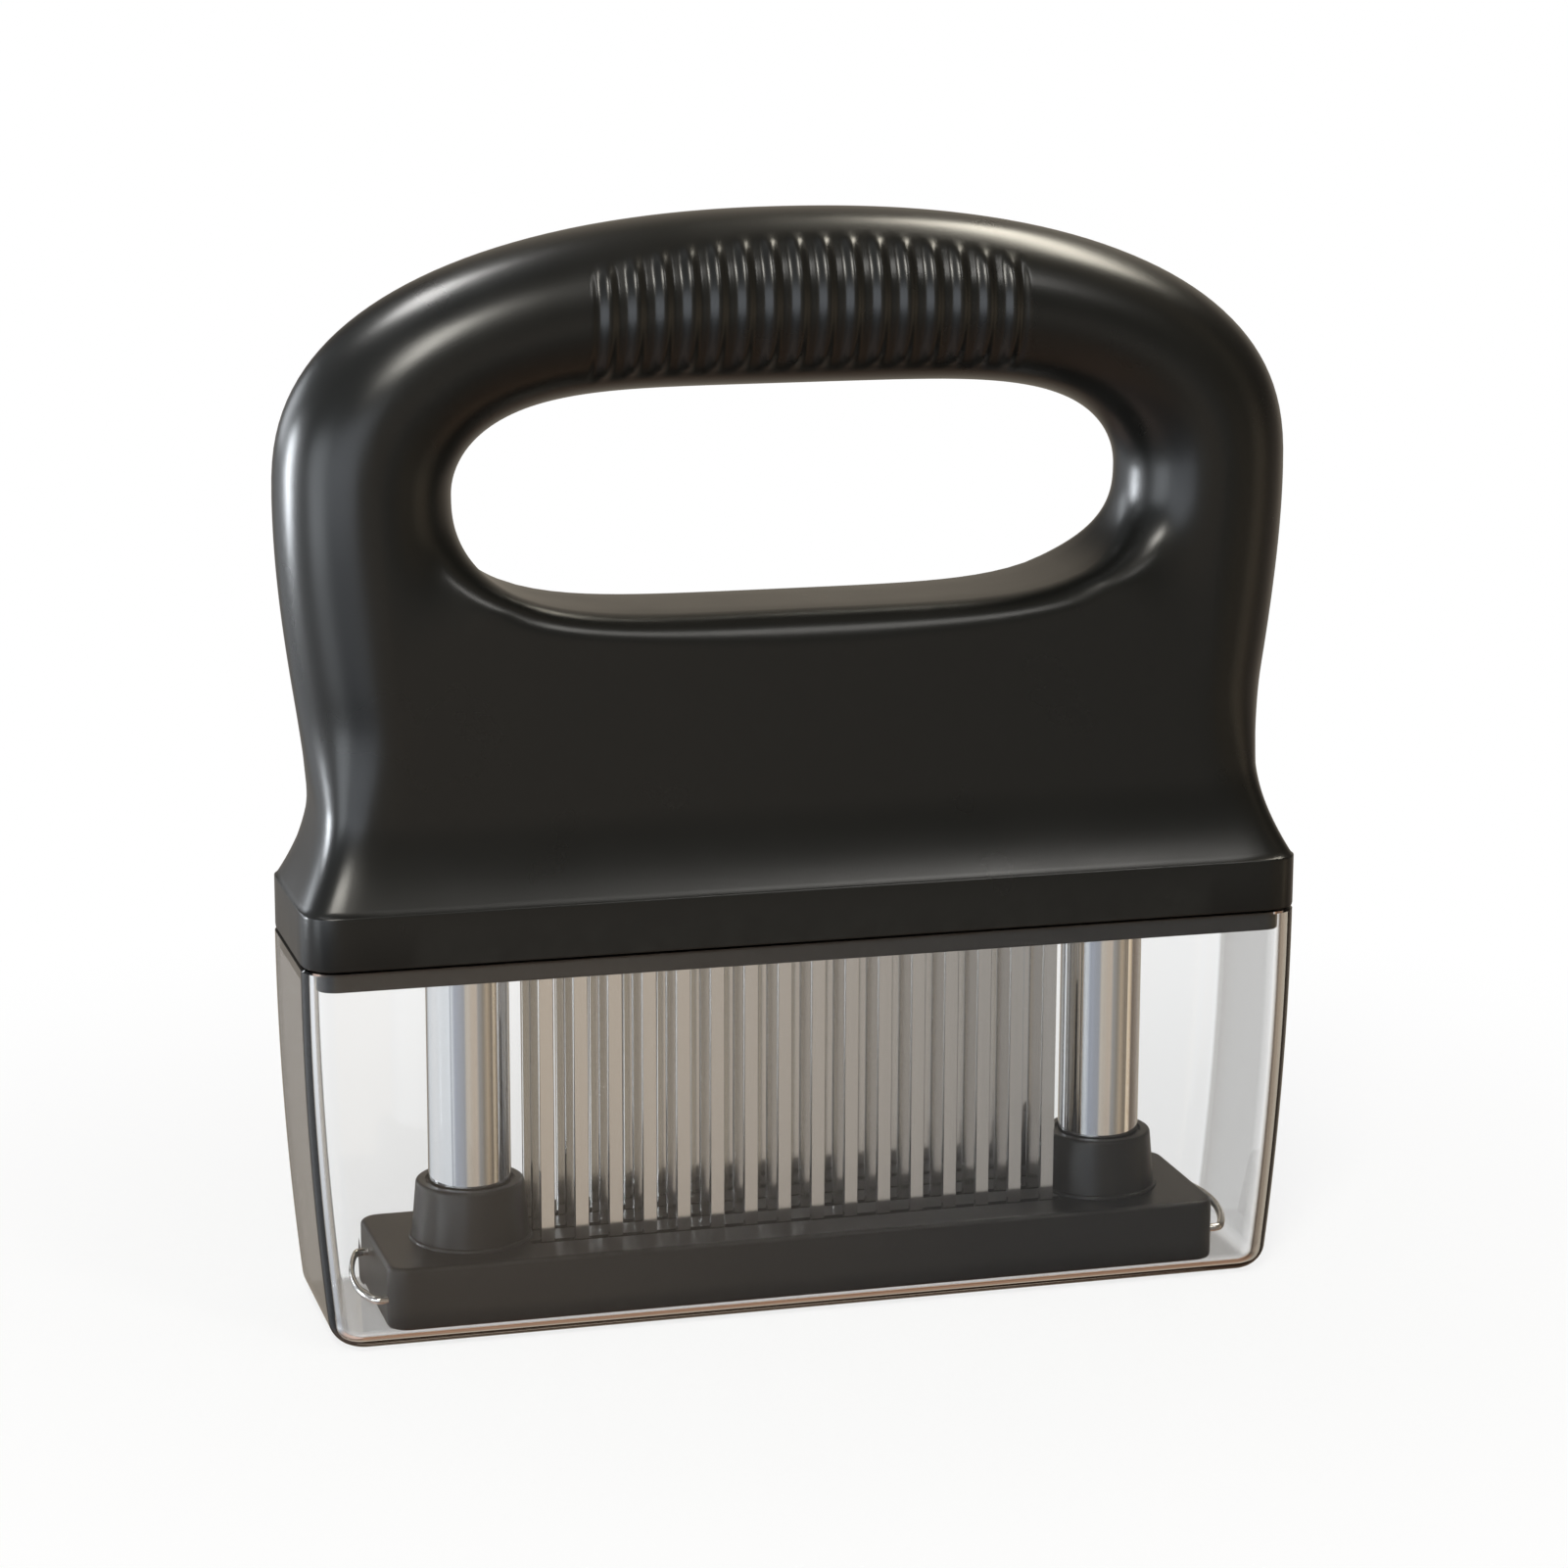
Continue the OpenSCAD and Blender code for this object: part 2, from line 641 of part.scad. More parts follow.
module clamp_plate() {
    color([0.66, 0.66, 0.64])
        difference() {
            translate([0, 0, z_clamp]) centred_box(clamp_w, clamp_d, clamp_t);
            at_screws(clamp_screw_x, row_pitch / 2)
                translate([0, 0, z_clamp - THROUGH])
                    cylinder(d = clamp_screw_d + drop_gap, h = clamp_t + 2 * THROUGH);
        }
}

module clamp_screws() {
    color([0.72, 0.72, 0.7])
        at_screws(clamp_screw_x, row_pitch / 2)
            translate([0, 0, z_clamp + clamp_t])
                mirror([0, 0, 1]) screw(clamp_screw_d, clamp_head_d, clamp_head_h, clamp_screw_l);
}

// ---------------------------------------------------------------- posts

module post(side) {
    color([0.86, 0.87, 0.88])
        translate([side * post_x, 0, z_shoulder])
            difference() {
                cylinder(r = post_r, h = z_post_top - z_shoulder);
                translate([0, 0, -THROUGH])
                    cylinder(r = tube_r, h = z_post_top - z_shoulder + 2 * THROUGH);
            }
}

module post_foot(side) {
    color([0.3, 0.3, 0.3])
        translate([side * post_x, 0, 0])
            difference() {
                union() {
                    translate([0, 0, z_foot]) cylinder(r = post_r, h = z_shoulder - z_foot);
                    translate([0, 0, z_shoulder]) cylinder(r = tube_r - drive_gap, h = spigot_l);
                }
                translate([0, 0, lock_level - groove_h / 2])
                    difference() {
                        cylinder(r = post_r + THROUGH, h = groove_h);
                        translate([0, 0, -THROUGH]) cylinder(r = groove_r, h = groove_h + 2 * THROUGH);
                    }
            }
}

module stop_collar(side) {
    color([0.6, 0.6, 0.58])
        translate([side * post_x, 0, z_collar])
            difference() {
                cylinder(r = collar_r, h = collar_h);
                translate([0, 0, -THROUGH])
                    cylinder(r = post_r + drive_gap, h = collar_h + 2 * THROUGH);
            }
}

module post_left() {
    post(LEFT);
}

module post_right() {
    post(RIGHT);
}

module post_foot_left() {
    post_foot(LEFT);
}

module post_foot_right() {
    post_foot(RIGHT);
}

module stop_collar_left() {
    stop_collar(LEFT);
}

module stop_collar_right() {
    stop_collar(RIGHT);
}

// ---------------------------------------------------------------- springs

// Ring of points about a centre, in the plane of two unit vectors
function wire_ring(c, out, up, r, sides) = [
    for (k = [0 : sides - 1])
        let (a = 360 * k / sides)
        c + r * (cos(a) * out + sin(a) * up)
];

// Solid wire through a list of rings
module wire(rings) {
    n = len(rings[0]);
    last = (len(rings) - 1) * n;
    walls = [
        for (i = [0 : len(rings) - 2], k = [0 : n - 1])
            let (a = i * n + k, b = i * n + (k + 1) % n)
            each [[a, b, b + n], [a, b + n, a + n]]
    ];
    caps = [[for (k = [n - 1 : -1 : 0]) k], [for (k = [0 : n - 1]) last + k]];
    polyhedron(points = [for (r = rings) each r], faces = concat(walls, caps));
}

CURL_RINGS = 8;
SPRING_SIDES = 6;
spring_low = z_spigot + spring_wire / 2 + spring_gap;
spring_high = z_bore - spring_wire / 2 - spring_gap;
spring_rings = spring_curls * CURL_RINGS;
function coil_out(i) = [cos(360 * i / CURL_RINGS), sin(360 * i / CURL_RINGS), 0];
function coil_point(i) =
    spring_ring_r * coil_out(i) + [0, 0, lerp(spring_low, spring_high, i / spring_rings)];

coil_centres = [for (i = [0 : spring_rings]) coil_point(i)];
coil_gap = min([for (i = [0 : spring_rings - CURL_RINGS - 1], k = [-1 : 1])
    norm(coil_centres[i + CURL_RINGS + k] - coil_centres[i])]) - spring_wire;
echo(least_gap_between_curls = coil_gap);

module spring(side) {
    color([0.7, 0.7, 0.68])
        translate([side * post_x, 0, 0])
            wire([for (i = [0 : spring_rings])
                wire_ring(coil_point(i), coil_out(i), [0, 0, 1], spring_wire / 2, SPRING_SIDES)]);
}

module spring_left() {
    spring(LEFT);
}

module spring_right() {
    spring(RIGHT);
}

// ---------------------------------------------------------------- blade guide

// Bore for one leg of a clip, from the guide's end inwards
module leg_bore(side, y, z, tip_x) {
    translate([side * (guide_w / 2 + THROUGH), y, z])
        rotate([0, -side * 90, 0])
            cylinder(r = wire_r + slide_gap, h = guide_w / 2 + THROUGH - tip_x + drop_gap);
}

module blade_guide() {
    color([0.2, 0.195, 0.19])
        difference() {
            translate([0, 0, z_guide]) rounded_plate(guide_w, guide_d, guide_r, guide_h);
            for (row = [-1 : 1])
                translate([0, row * row_pitch, z_guide - THROUGH])
                    centred_box(slot_l, slot_w, guide_h + 2 * THROUGH);
            for (s = [LEFT, RIGHT]) {
                translate([s * post_x, 0, z_guide + foot_floor])
                    cylinder(r = post_r + slide_gap, h = guide_h - foot_floor + THROUGH);
                leg_bore(s, lock_y, lock_level, clip_tip_x);
                leg_bore(s, -front_y, front_level, clip_tip_x);
            }
        }
}

// Boss round one post: a cone with a bead round its foot and a recess round the post
module boss(side) {
    bead_h = 0.5;
    rim_recess = 0.5;
    color([0.2, 0.195, 0.19])
        translate([side * post_x, 0, z_plate])
            difference() {
                union() {
                    cylinder(d1 = boss_base_d, d2 = boss_top_d, h = boss_h);
                    cylinder(d = boss_base_d + 2 * boss_bead, h = bead_h);
                }
                translate([0, 0, -THROUGH])
                    cylinder(r = post_r + slide_gap, h = boss_h + 2 * THROUGH);
                translate([0, 0, boss_h - bead_h])
                    cylinder(r = post_r + rim_recess, h = bead_h + THROUGH);
            }
}

module boss_left() {
    boss(LEFT);
}

module boss_right() {
    boss(RIGHT);
}

// ---------------------------------------------------------------- clips

// Path of the wire in the loop's own plane, from the tip of the locking leg to the
// tip of the front leg: [distance from the middle, place across, heading]
SMALL_STEPS = 5;
LARGE_STEPS = 8;
CLIP_SIDES = 12;
clip_half = clip_chord / 2;
clip_small_bend = [
    for (i = [0 : SMALL_STEPS])
        let (a = clip_bend * i / SMALL_STEPS)
        [clip_bend_x + clip_small_r * sin(a), clip_half - clip_small_r * (1 - cos(a)), -a]
];
clip_large_bend = [
    for (i = [1 : LARGE_STEPS - 1])
        let (a = (90 - clip_bend) * (1 - 2 * i / LARGE_STEPS))
        [clip_bend_x + clip_rise - clip_large_r * (1 - cos(a)), clip_large_r * sin(a), a - 90]
];
clip_path = concat(
    [[clip_tip_x, clip_half, 0]],
    clip_small_bend,
    clip_large_bend,
    [for (i = [SMALL_STEPS : -1 : 0]) let (p = clip_small_bend[i]) [p[0], -p[1], -180 - p[2]]],
    [[clip_tip_x, -clip_half, -180]]
);

// Loop and legs of one clip, drawn at the right-hand end
module clip(side) {
    color([0.8, 0.8, 0.78])
        mirror([side == LEFT ? 1 : 0, 0, 0])
            translate([0, (lock_y - front_y) / 2, (lock_level + front_level) / 2])
                rotate([clip_tilt, 0, 0])
                    wire([for (p = clip_path)
                        wire_ring([p[0], p[1], 0], [sin(p[2]), -cos(p[2]), 0], [0, 0, 1],
                                  wire_r, CLIP_SIDES)]);
}

module clip_left() {
    clip(LEFT);
}

module clip_right() {
    clip(RIGHT);
}

// ---------------------------------------------------------------- assembly

cover();
cover_floor();
handle();
base_insert();
insert_screws();
blade_block();
front_blades();
middle_blades();
rear_blades();
clamp_plate();
clamp_screws();
post_left();
post_right();
post_foot_left();
post_foot_right();
stop_collar_left();
stop_collar_right();
spring_left();
spring_right();
blade_guide();
boss_left();
boss_right();
clip_left();
clip_right();
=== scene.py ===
"""Looks of the blade meat tenderizer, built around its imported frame.

Shapes are written in millimetres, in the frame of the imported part: +Z is up, the cover
stands on z = 0 and the front looks along -Y. solid() turns them into metres. Angles are
in degrees. Lamps and the studio's distances are in metres.
"""

import math

import bmesh
import bpy
from mathutils import Matrix, Vector


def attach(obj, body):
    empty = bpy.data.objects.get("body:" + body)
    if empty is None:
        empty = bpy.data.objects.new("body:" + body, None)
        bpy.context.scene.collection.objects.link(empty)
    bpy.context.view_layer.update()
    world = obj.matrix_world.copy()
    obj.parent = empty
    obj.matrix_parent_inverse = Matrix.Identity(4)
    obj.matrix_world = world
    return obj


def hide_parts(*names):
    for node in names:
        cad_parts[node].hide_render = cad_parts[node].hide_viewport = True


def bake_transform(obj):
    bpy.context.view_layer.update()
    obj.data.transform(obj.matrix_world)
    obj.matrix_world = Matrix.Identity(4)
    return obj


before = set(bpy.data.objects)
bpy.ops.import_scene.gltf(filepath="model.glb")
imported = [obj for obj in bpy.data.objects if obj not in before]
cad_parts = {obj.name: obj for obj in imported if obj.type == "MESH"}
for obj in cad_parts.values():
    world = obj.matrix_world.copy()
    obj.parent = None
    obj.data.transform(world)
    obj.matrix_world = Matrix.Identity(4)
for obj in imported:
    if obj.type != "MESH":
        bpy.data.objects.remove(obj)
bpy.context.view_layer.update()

MM = 0.001
LEFT, RIGHT = -1, 1

# ---------------------------------------------------------------- sizes of the part

# Levels above the table
COVER_RIM = 56.5
FLANGE = 56.8
SKIRT = 64.8
SKIRT_FOOT = 64.6
NECK = 77.6
SLAB = 92.8
LEDGE = 104.4
WIDEST = 121.8
HOLE_TOP = 136.1
TOP = 161.4
LIP = 53.4
SEAT = 62.8
CAVITY = 70.94
BORE_TOP = 101.5
SPRING_FOOT = 19.67
SPRING_HEAD = 101.33
GUIDE_FLOOR = 1.8
GUIDE_TOP = 11.3
BOSS_TOP = 20.1
POST_SHOULDER = 13.5
POST_TOP = 67.5

# Cover
COVER_WALL = 1.8
COVER_FLOOR = 1.5
COVER_TAPER = 3.3
COVER_DRAFT = 0.2
COVER_EDGE_R = 3.4
COVER_RIM_EDGE = 0.25

# Handle
FLANGE_W, FLANGE_D, FLANGE_R = 150.0, 33.4, 5.0
FLANGE_EDGE_R = 0.5
SKIRT_STEP = 0.15
HANDLE_W = 151.4
NECK_W = 142.2
GRIP_D = 25.3
HOLE_W = 100.8
HOLE_EDGE_R = 4.8
RIDGE_COUNT = 16
RIDGE_PITCH = 3.96
RIDGE_VALLEY, RIDGE_CREST, RIDGE_HALF_W = -0.26, 0.66, 1.62
POCKET_HALF_W, POCKET_HALF_D = 40.68, 9.35
BORE_R = 7.4
PEG_R, PEG_L = 2.9, 6

# Insert and its screws
INSERT_W, INSERT_D, INSERT_R = 145.6, 29.0, 2.8
BLOCK_W, BLOCK_D = 81.95, 16.9
SCREW_X, SCREW_Y = 66, 8
SCREW_R, SCREW_HEAD_R, SCREW_SINK = 1.7, 3.1, 2.19

# Blades
BLADE_COUNT = 16
BLADE_PITCH = 5.15
BLADE_W, BLADE_T = 2.3, 0.9
BLADE_TIP, BLADE_HEAD = 3.3, 65.3
TIP_RISE, TIP_EDGE = 2.2, 0.06
HEAD_HALF_W, HEAD_H = 1.7, 2.5
BLADE_EASE = 0.18
ROW_PITCH = 6.0

# Posts and guide
POST_X = 48.95
POST_R, TUBE_R = 6.1, 4.7
POST_EASE = 0.25
GUIDE_W, GUIDE_D, GUIDE_R = 127.0, 27.0, 3.0
GUIDE_EDGE_R = 0.7
SLOT_HALF_L, SLOT_HALF_W = 41.08, 0.75
BOSS_TOP_R, BOSS_FOOT_R, BOSS_EDGE_R = 8.0, 8.75, 0.5

# Clips and springs
WIRE_R = 0.6
LOCK_Y, FRONT_Y = 4.8, -10.8
LOCK_LEVEL, FRONT_LEVEL = 8.3, 6.1
CLIP_TIP_X, CLIP_OUT = 50.71, 4.4
CLIP_BEND, CLIP_BEND_R = 62, 1.5
SPRING_R, SPRING_WIRE_R, SPRING_CURLS = 3.75, 0.55, 18

# Gap round what is dropped in, gap round what is pushed in, and how far cutters reach past a face
DROP_GAP = 0.2
PUSH_GAP = 0.06
PAST = 1


def lerp(a, b, f):
    return a + (b - a) * f


def smooth(f):
    f = min(1.0, max(0.0, f))
    return f * f * (3 - 2 * f)


def power(base, exponent):
    return max(0.0, base) ** exponent


# ---------------------------------------------------------------- meshes

CREASE = 32
WELD, SLIVER = 0.002, 0.001


def solid(name, points, faces, material, crease=CREASE):
    """A smooth object from points in millimetres, sharp where faces meet at over crease degrees."""
    mesh = bpy.data.meshes.new(name)
    mesh.from_pydata([[c * MM for c in p] for p in points], [], faces)
    piece = bpy.data.objects.new(name, mesh)
    bpy.context.scene.collection.objects.link(piece)
    mesh.materials.append(material)
    weld_and_shade(mesh, crease)
    return piece


def weld_and_shade(mesh, crease):
    shape = bmesh.new()
    shape.from_mesh(mesh)
    bmesh.ops.remove_doubles(shape, verts=shape.verts, dist=WELD * MM)
    bmesh.ops.recalc_face_normals(shape, faces=shape.faces)
    shape.to_mesh(mesh)
    shape.free()
    mesh.shade_smooth()
    mesh.set_sharp_from_angle(angle=math.radians(crease))


def cut(piece, cutters, operation="DIFFERENCE", crease=CREASE):
    """Cuts the cutters out of the piece, or joins them to it, and deletes them."""
    for cutter in cutters:
        change = piece.modifiers.new("cut", "BOOLEAN")
        change.object = cutter
        change.operation = operation
        change.solver = "EXACT"
    freeze(piece)
    for cutter in cutters:
        bpy.data.objects.remove(cutter)
    weld_and_shade(piece.data, crease)


def freeze(piece):
    """Turns the piece's modifiers into plain mesh."""
    graph = bpy.context.evaluated_depsgraph_get()
    mesh = bpy.data.meshes.new_from_object(piece.evaluated_get(graph))
    piece.modifiers.clear()
    piece.data = mesh


def soften_edges(piece, width):
    """Rounds the piece's sharp edges by a small bevel."""
    bevel = piece.modifiers.new("soften", "BEVEL")
    bevel.width = width * MM
    bevel.segments = 2
    bevel.limit_method = "ANGLE"
    bevel.angle_limit = math.radians(40)
    bevel.use_clamp_overlap = True
    freeze(piece)
    weld_and_shade(piece.data, CREASE)


def place(piece, body, slot, *replaced):
    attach(piece, body)
    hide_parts(*replaced)


def add_faces(points, faces, more_points, more_faces):
    """Appends a shape's points and faces to those of another."""
    start = len(points)
    points += more_points
    faces += [tuple(i + start for i in face) for face in more_faces]


def circle(r, steps):
    """Points of a circle about 0, 0."""
    angles = (2 * math.pi * k / steps for k in range(steps))
    return [(r * math.cos(a), r * math.sin(a)) for a in angles]


def skin(rings, closed=True):
    """Quads between rings of equally many points; closed rings join their ends."""
    n = len(rings[0])
    last = n if closed else n - 1
    faces = []
    for i in range(len(rings) - 1):
        for j in range(last):
            k = (j + 1) % n
            faces.append((i * n + j, i * n + k, (i + 1) * n + k, (i + 1) * n + j))
    return [p for ring in rings for p in ring], faces


def stack(name, rings, material, crease=CREASE):
    """A closed solid from a stack of rings, with a flat face on the first and on the last."""
    points, faces = skin(rings)
    n = len(rings[0])
    faces.append(tuple(range(n)))
    faces.append(tuple(len(points) - n + j for j in range(n)))
    return solid(name, points, faces, material, crease)


def plate_ring(w, d, r, z, steps=8, collar=0.4):
    """A rounded rectangle, with a point a little before and after each corner's arc."""
    ring = []
    corners = ((1, 1, 0), (-1, 1, 90), (-1, -1, 180), (1, -1, 270))
    for sx, sy, start in corners:
        cx, cy = sx * (w / 2 - r), sy * (d / 2 - r)
        for i in range(-1, steps + 2):
            a = math.radians(start + 90 * min(steps, max(0, i)) / steps)
            x, y = cx + r * math.cos(a), cy + r * math.sin(a)
            if i < 0:
                x, y = x + collar * math.sin(a), y - collar * math.cos(a)
            if i > steps:
                x, y = x - collar * math.sin(a), y + collar * math.cos(a)
            ring.append((x, y, z))
    return ring


def round_profile(z, r, upward, steps=4):
    """(inset, z) pairs of a rounded edge: up from a flat face at z, or up to a flat top at z."""
    pairs = []
    for i in range(steps + 1):
        a = math.radians(90 * i / steps)
        if upward:
            pairs.append((r * (1 - math.sin(a)), z + r * (1 - math.cos(a))))
        else:
            pairs.append((r * (1 - math.cos(a)), z - r + r * math.sin(a)))
    return pairs


def plate(name, w, d, r, z0, z1, edge_low, edge_high, material):
    """A plate with round corners and rounded lower and upper edges."""
    collar, least_r = 0.4, 0.2
    profile = [(edge_low + collar, z0)]
    profile += round_profile(z0, edge_low, True)
    profile += round_profile(z1, edge_high, False)
    profile += [(edge_high + collar, z1)]
    rings = [plate_ring(w - 2 * i, d - 2 * i, max(least_r, r - i), z) for i, z in profile]
    return stack(name, rings, material)


def turned(name, profile, x, y, material, steps=72, crease=CREASE):
    """A turned solid about the upright line through x, y; its profile is closed, of (radius, z)."""
    points, faces = [], []
    n = len(profile)
    for i in range(steps):
        angle = 2 * math.pi * i / steps
        points += [(x + r * math.cos(angle), y + r * math.sin(angle), z) for r, z in profile]
    for i in range(steps):
        here, there = i * n, (i + 1) % steps * n
        for j in range(n):
            k = (j + 1) % n
            faces.append((here + j, here + k, there + k, there + j))
    piece = solid(name, points, faces, material, crease)
    drop_slivers(piece.data)
    return piece


def drop_slivers(mesh):
    """Removes the flat leftovers where a profile touches its axis."""
    shape = bmesh.new()
    shape.from_mesh(mesh)
    bmesh.ops.dissolve_degenerate(shape, edges=shape.edges, dist=SLIVER * MM)
    shape.to_mesh(mesh)
    shape.free()


def rod_profile(r, z0, z1):
    """Profile of a solid rod."""
    return [(0, z0), (r, z0), (r, z1), (0, z1)]


def box(name, half_w, half_d, y, z0, z1, material):
    """A block with its middle at x = 0 and at the given y."""
    low, high = y - half_d, y + half_d
    ring = [(-half_w, low), (half_w, low), (half_w, high), (-half_w, high)]
    return stack(name, [[(px, py, z) for px, py in ring] for z in (z0, z1)], material)


def wire(name, path, r, material, sides):
    """A round wire along a path, with slightly rounded ends."""
    path = [Vector(p) for p in path]
    start = (path[1] - path[0]).normalized()
    finish = (path[-1] - path[-2]).normalized()
    ends = ((0.0, 0.55), (0.12, 0.85), (0.3, 1.0))  # shares of the radius: along, across
    line = [(path[0] + start * t * r, start, f) for t, f in ends]
    for i in range(1, len(path) - 1):
        line.append((path[i], (path[i + 1] - path[i - 1]).normalized(), 1.0))
    line += [(path[-1] - finish * t * r, finish, f) for t, f in reversed(ends)]
    side = start.orthogonal().normalized()
    rings = []
    for centre, heading, share in line:
        side = (side - heading * side.dot(heading)).normalized()
        across = heading.cross(side)
        rings.append([
            centre + r * share * (math.cos(t) * side + math.sin(t) * across)
            for t in (2 * math.pi * k / sides for k in range(sides))
        ])
    return stack(name, rings, material, crease=50)


# ---------------------------------------------------------------- nodes of materials


def feed(tree, socket, value):
    """Links another node's socket to this one, or sets it to a value."""
    if isinstance(value, bpy.types.NodeSocket):
        tree.links.new(value, socket)
    else:
        socket.default_value = value


def add_node(tree, kind, inputs=None, **settings):
    """A new shader node with its settings, and with its inputs fed."""
    node = tree.nodes.new("ShaderNode" + kind)
    for name, value in settings.items():
        setattr(node, name, value)
    for key, value in (inputs or {}).items():
        feed(tree, node.inputs[key], value)
    return node


def calculate(tree, operation, *values):
    return add_node(tree, "Math", dict(enumerate(values)), operation=operation).outputs[0]


def share_between(tree, value, low, high, start=0.0, interpolation="LINEAR"):
    """A share that grows from start to 1 as the value goes from low to high."""
    inputs = {"Value": value, "From Min": low, "From Max": high, "To Min": start}
    return add_node(tree, "MapRange", inputs, interpolation_type=interpolation).outputs["Result"]


def mix_colors(tree, share, first, second, blend_type="MIX"):
    inputs = {"Factor": share, "A": first, "B": second}
    node = add_node(tree, "Mix", inputs, data_type="RGBA", blend_type=blend_type)
    return node.outputs["Result"]


def mix_shaders(tree, share, first, second):
    return add_node(tree, "MixShader", {"Fac": share, 1: first, 2: second}).outputs[0]


def noise(tree, scale, detail, where=None):
    """Cloudy pattern in the object's own frame, or at another place."""
    if where is None:
        where = add_node(tree, "TexCoord").outputs["Object"]
    inputs = {"Vector": where, "Scale": scale, "Detail": detail}
    return add_node(tree, "TexNoise", inputs).outputs["Fac"]


def new_group(name, inputs, outputs):
    """A node group, with the sockets that it is given and those that it has to feed."""
    group = bpy.data.node_groups.new(name, "ShaderNodeTree")
    for label, kind, value in inputs:
        socket = group.interface.new_socket(label, in_out="INPUT", socket_type="NodeSocket" + kind)
        socket.default_value = value
    for label in outputs:
        kind = "NodeSocketColor" if label == "Color" else "NodeSocketFloat"
        group.interface.new_socket(label, in_out="OUTPUT", socket_type=kind)
    given = group.nodes.new("NodeGroupInput").outputs
    return group, given, group.nodes.new("NodeGroupOutput").inputs


def varied_roughness(group, pattern, given):
    """The given roughness, moved up and down by the pattern."""
    off = calculate(group, "SUBTRACT", pattern, 0.5)
    return calculate(group, "MULTIPLY_ADD", off, given["Spread"], given["Roughness"])


def moulded_grain():
    """Moulded surface: the height of its fine grain, and a roughness that varies in patches."""
    group, given, result = new_group(
        "moulded grain",
        [("Scale", "Float", 2500.0), ("Roughness", "Float", 0.36), ("Spread", "Float", 0.05)],
        ["Height", "Roughness"],
    )
    patches = noise(group, scale=60, detail=4)
    feed(group, result["Height"], noise(group, scale=given["Scale"], detail=3))
    feed(group, result["Roughness"], varied_roughness(group, patches, given))
    return group


def edge_wear():
    """Lightens a colour along worn outer edges."""
    group, given, result = new_group(
        "edge wear",
        [("Color", "Color", (0, 0, 0, 1)), ("Worn Color", "Color", (1, 1, 1, 1)),
         ("Amount", "Float", 0.2)],
        ["Color"],
    )
    shape = add_node(group, "NewGeometry").outputs
    edge = share_between(group, shape["Pointiness"], 0.52, 0.62)
    broken = calculate(group, "MULTIPLY", edge, noise(group, scale=400, detail=5))
    share = calculate(group, "MULTIPLY", broken, given["Amount"])
    feed(group, result["Color"], mix_colors(group, share, given["Color"], given["Worn Color"]))
    return group


def drawn_lines():
    """Fine lines left by drawing, grinding or turning: stretch gives their direction."""
    group, given, result = new_group(
        "drawn lines",
        [("Stretch", "Vector", (1500, 1500, 12)), ("Roughness", "Float", 0.2),
         ("Spread", "Float", 0.1)],
        ["Height", "Roughness", "Shade"],
    )
    where = add_node(group, "TexCoord").outputs["Object"]
    inputs = {0: where, 1: given["Stretch"]}
    stretched = add_node(group, "VectorMath", inputs, operation="MULTIPLY").outputs[0]
    lines = noise(group, scale=1, detail=4, where=stretched)
    feed(group, result["Height"], lines)
    feed(group, result["Shade"], lines)
    feed(group, result["Roughness"], varied_roughness(group, lines, given))
    return group


GRAIN = moulded_grain()
WEAR = edge_wear()
LINES = drawn_lines()

# ---------------------------------------------------------------- materials

EDGE_WEAR = 0.3
# Colour of the clear plastic seen face on, and the painted shade it turns to when seen edge on
CLEAR_FACE_ON = (0.975, 0.978, 0.978)
CLEAR_PAINTED_SHADE = (0.25, 0.238, 0.225)


def new_material(name, color, **constants):
    """A new material with its node tree and its shader; constants are the shader's inputs."""
    material = bpy.data.materials.new(name)
    material.use_nodes = True
    tree = material.node_tree
    shader = tree.nodes["Principled BSDF"]
    shader.inputs["Base Color"].default_value = (*color, 1)
    for label, value in constants.items():
        shader.inputs[label.replace("_", " ")].default_value = value
    return material, tree, shader


def use_group(tree, group, inputs):
    return add_node(tree, "Group", inputs, node_tree=group).outputs


def add_bump(tree, shader, height, depth):
    """Raises and lowers the shader's surface by a depth in millimetres."""
    bump = add_node(tree, "Bump", {"Distance": depth * MM, "Strength": 1.0, "Height": height})
    feed(tree, shader.inputs["Normal"], bump.outputs["Normal"])


def plastic(name, color, worn, roughness, specular, scale, depth):
    """Moulded plastic: a fine grain, patches that shine a little more, lighter edges."""
    material, tree, shader = new_material(name, color, IOR=1.5, Specular_IOR_Level=specular)
    grain = use_group(tree, GRAIN, {"Scale": scale, "Roughness": roughness, "Spread": 0.12})
    feed(tree, shader.inputs["Roughness"], grain["Roughness"])
    add_bump(tree, shader, grain["Height"], depth)
    edges = use_group(tree, WEAR, {
        "Color": (*color, 1), "Worn Color": (*worn, 1), "Amount": EDGE_WEAR})
    feed(tree, shader.inputs["Base Color"], edges["Color"])
    return material


def metal(name, color, dark, roughness, spread, stretch, depth):
    """Bare metal with the fine lines of its making."""
    material, tree, shader = new_material(name, color, Metallic=1)
    lines = use_group(tree, LINES, {"Stretch": stretch, "Roughness": roughness, "Spread": spread})
    feed(tree, shader.inputs["Roughness"], lines["Roughness"])
    add_bump(tree, shader, lines["Height"], depth)
    shade = mix_colors(tree, lines["Shade"], (*dark, 1), (*color, 1))
    feed(tree, shader.inputs["Base Color"], shade)
    return material


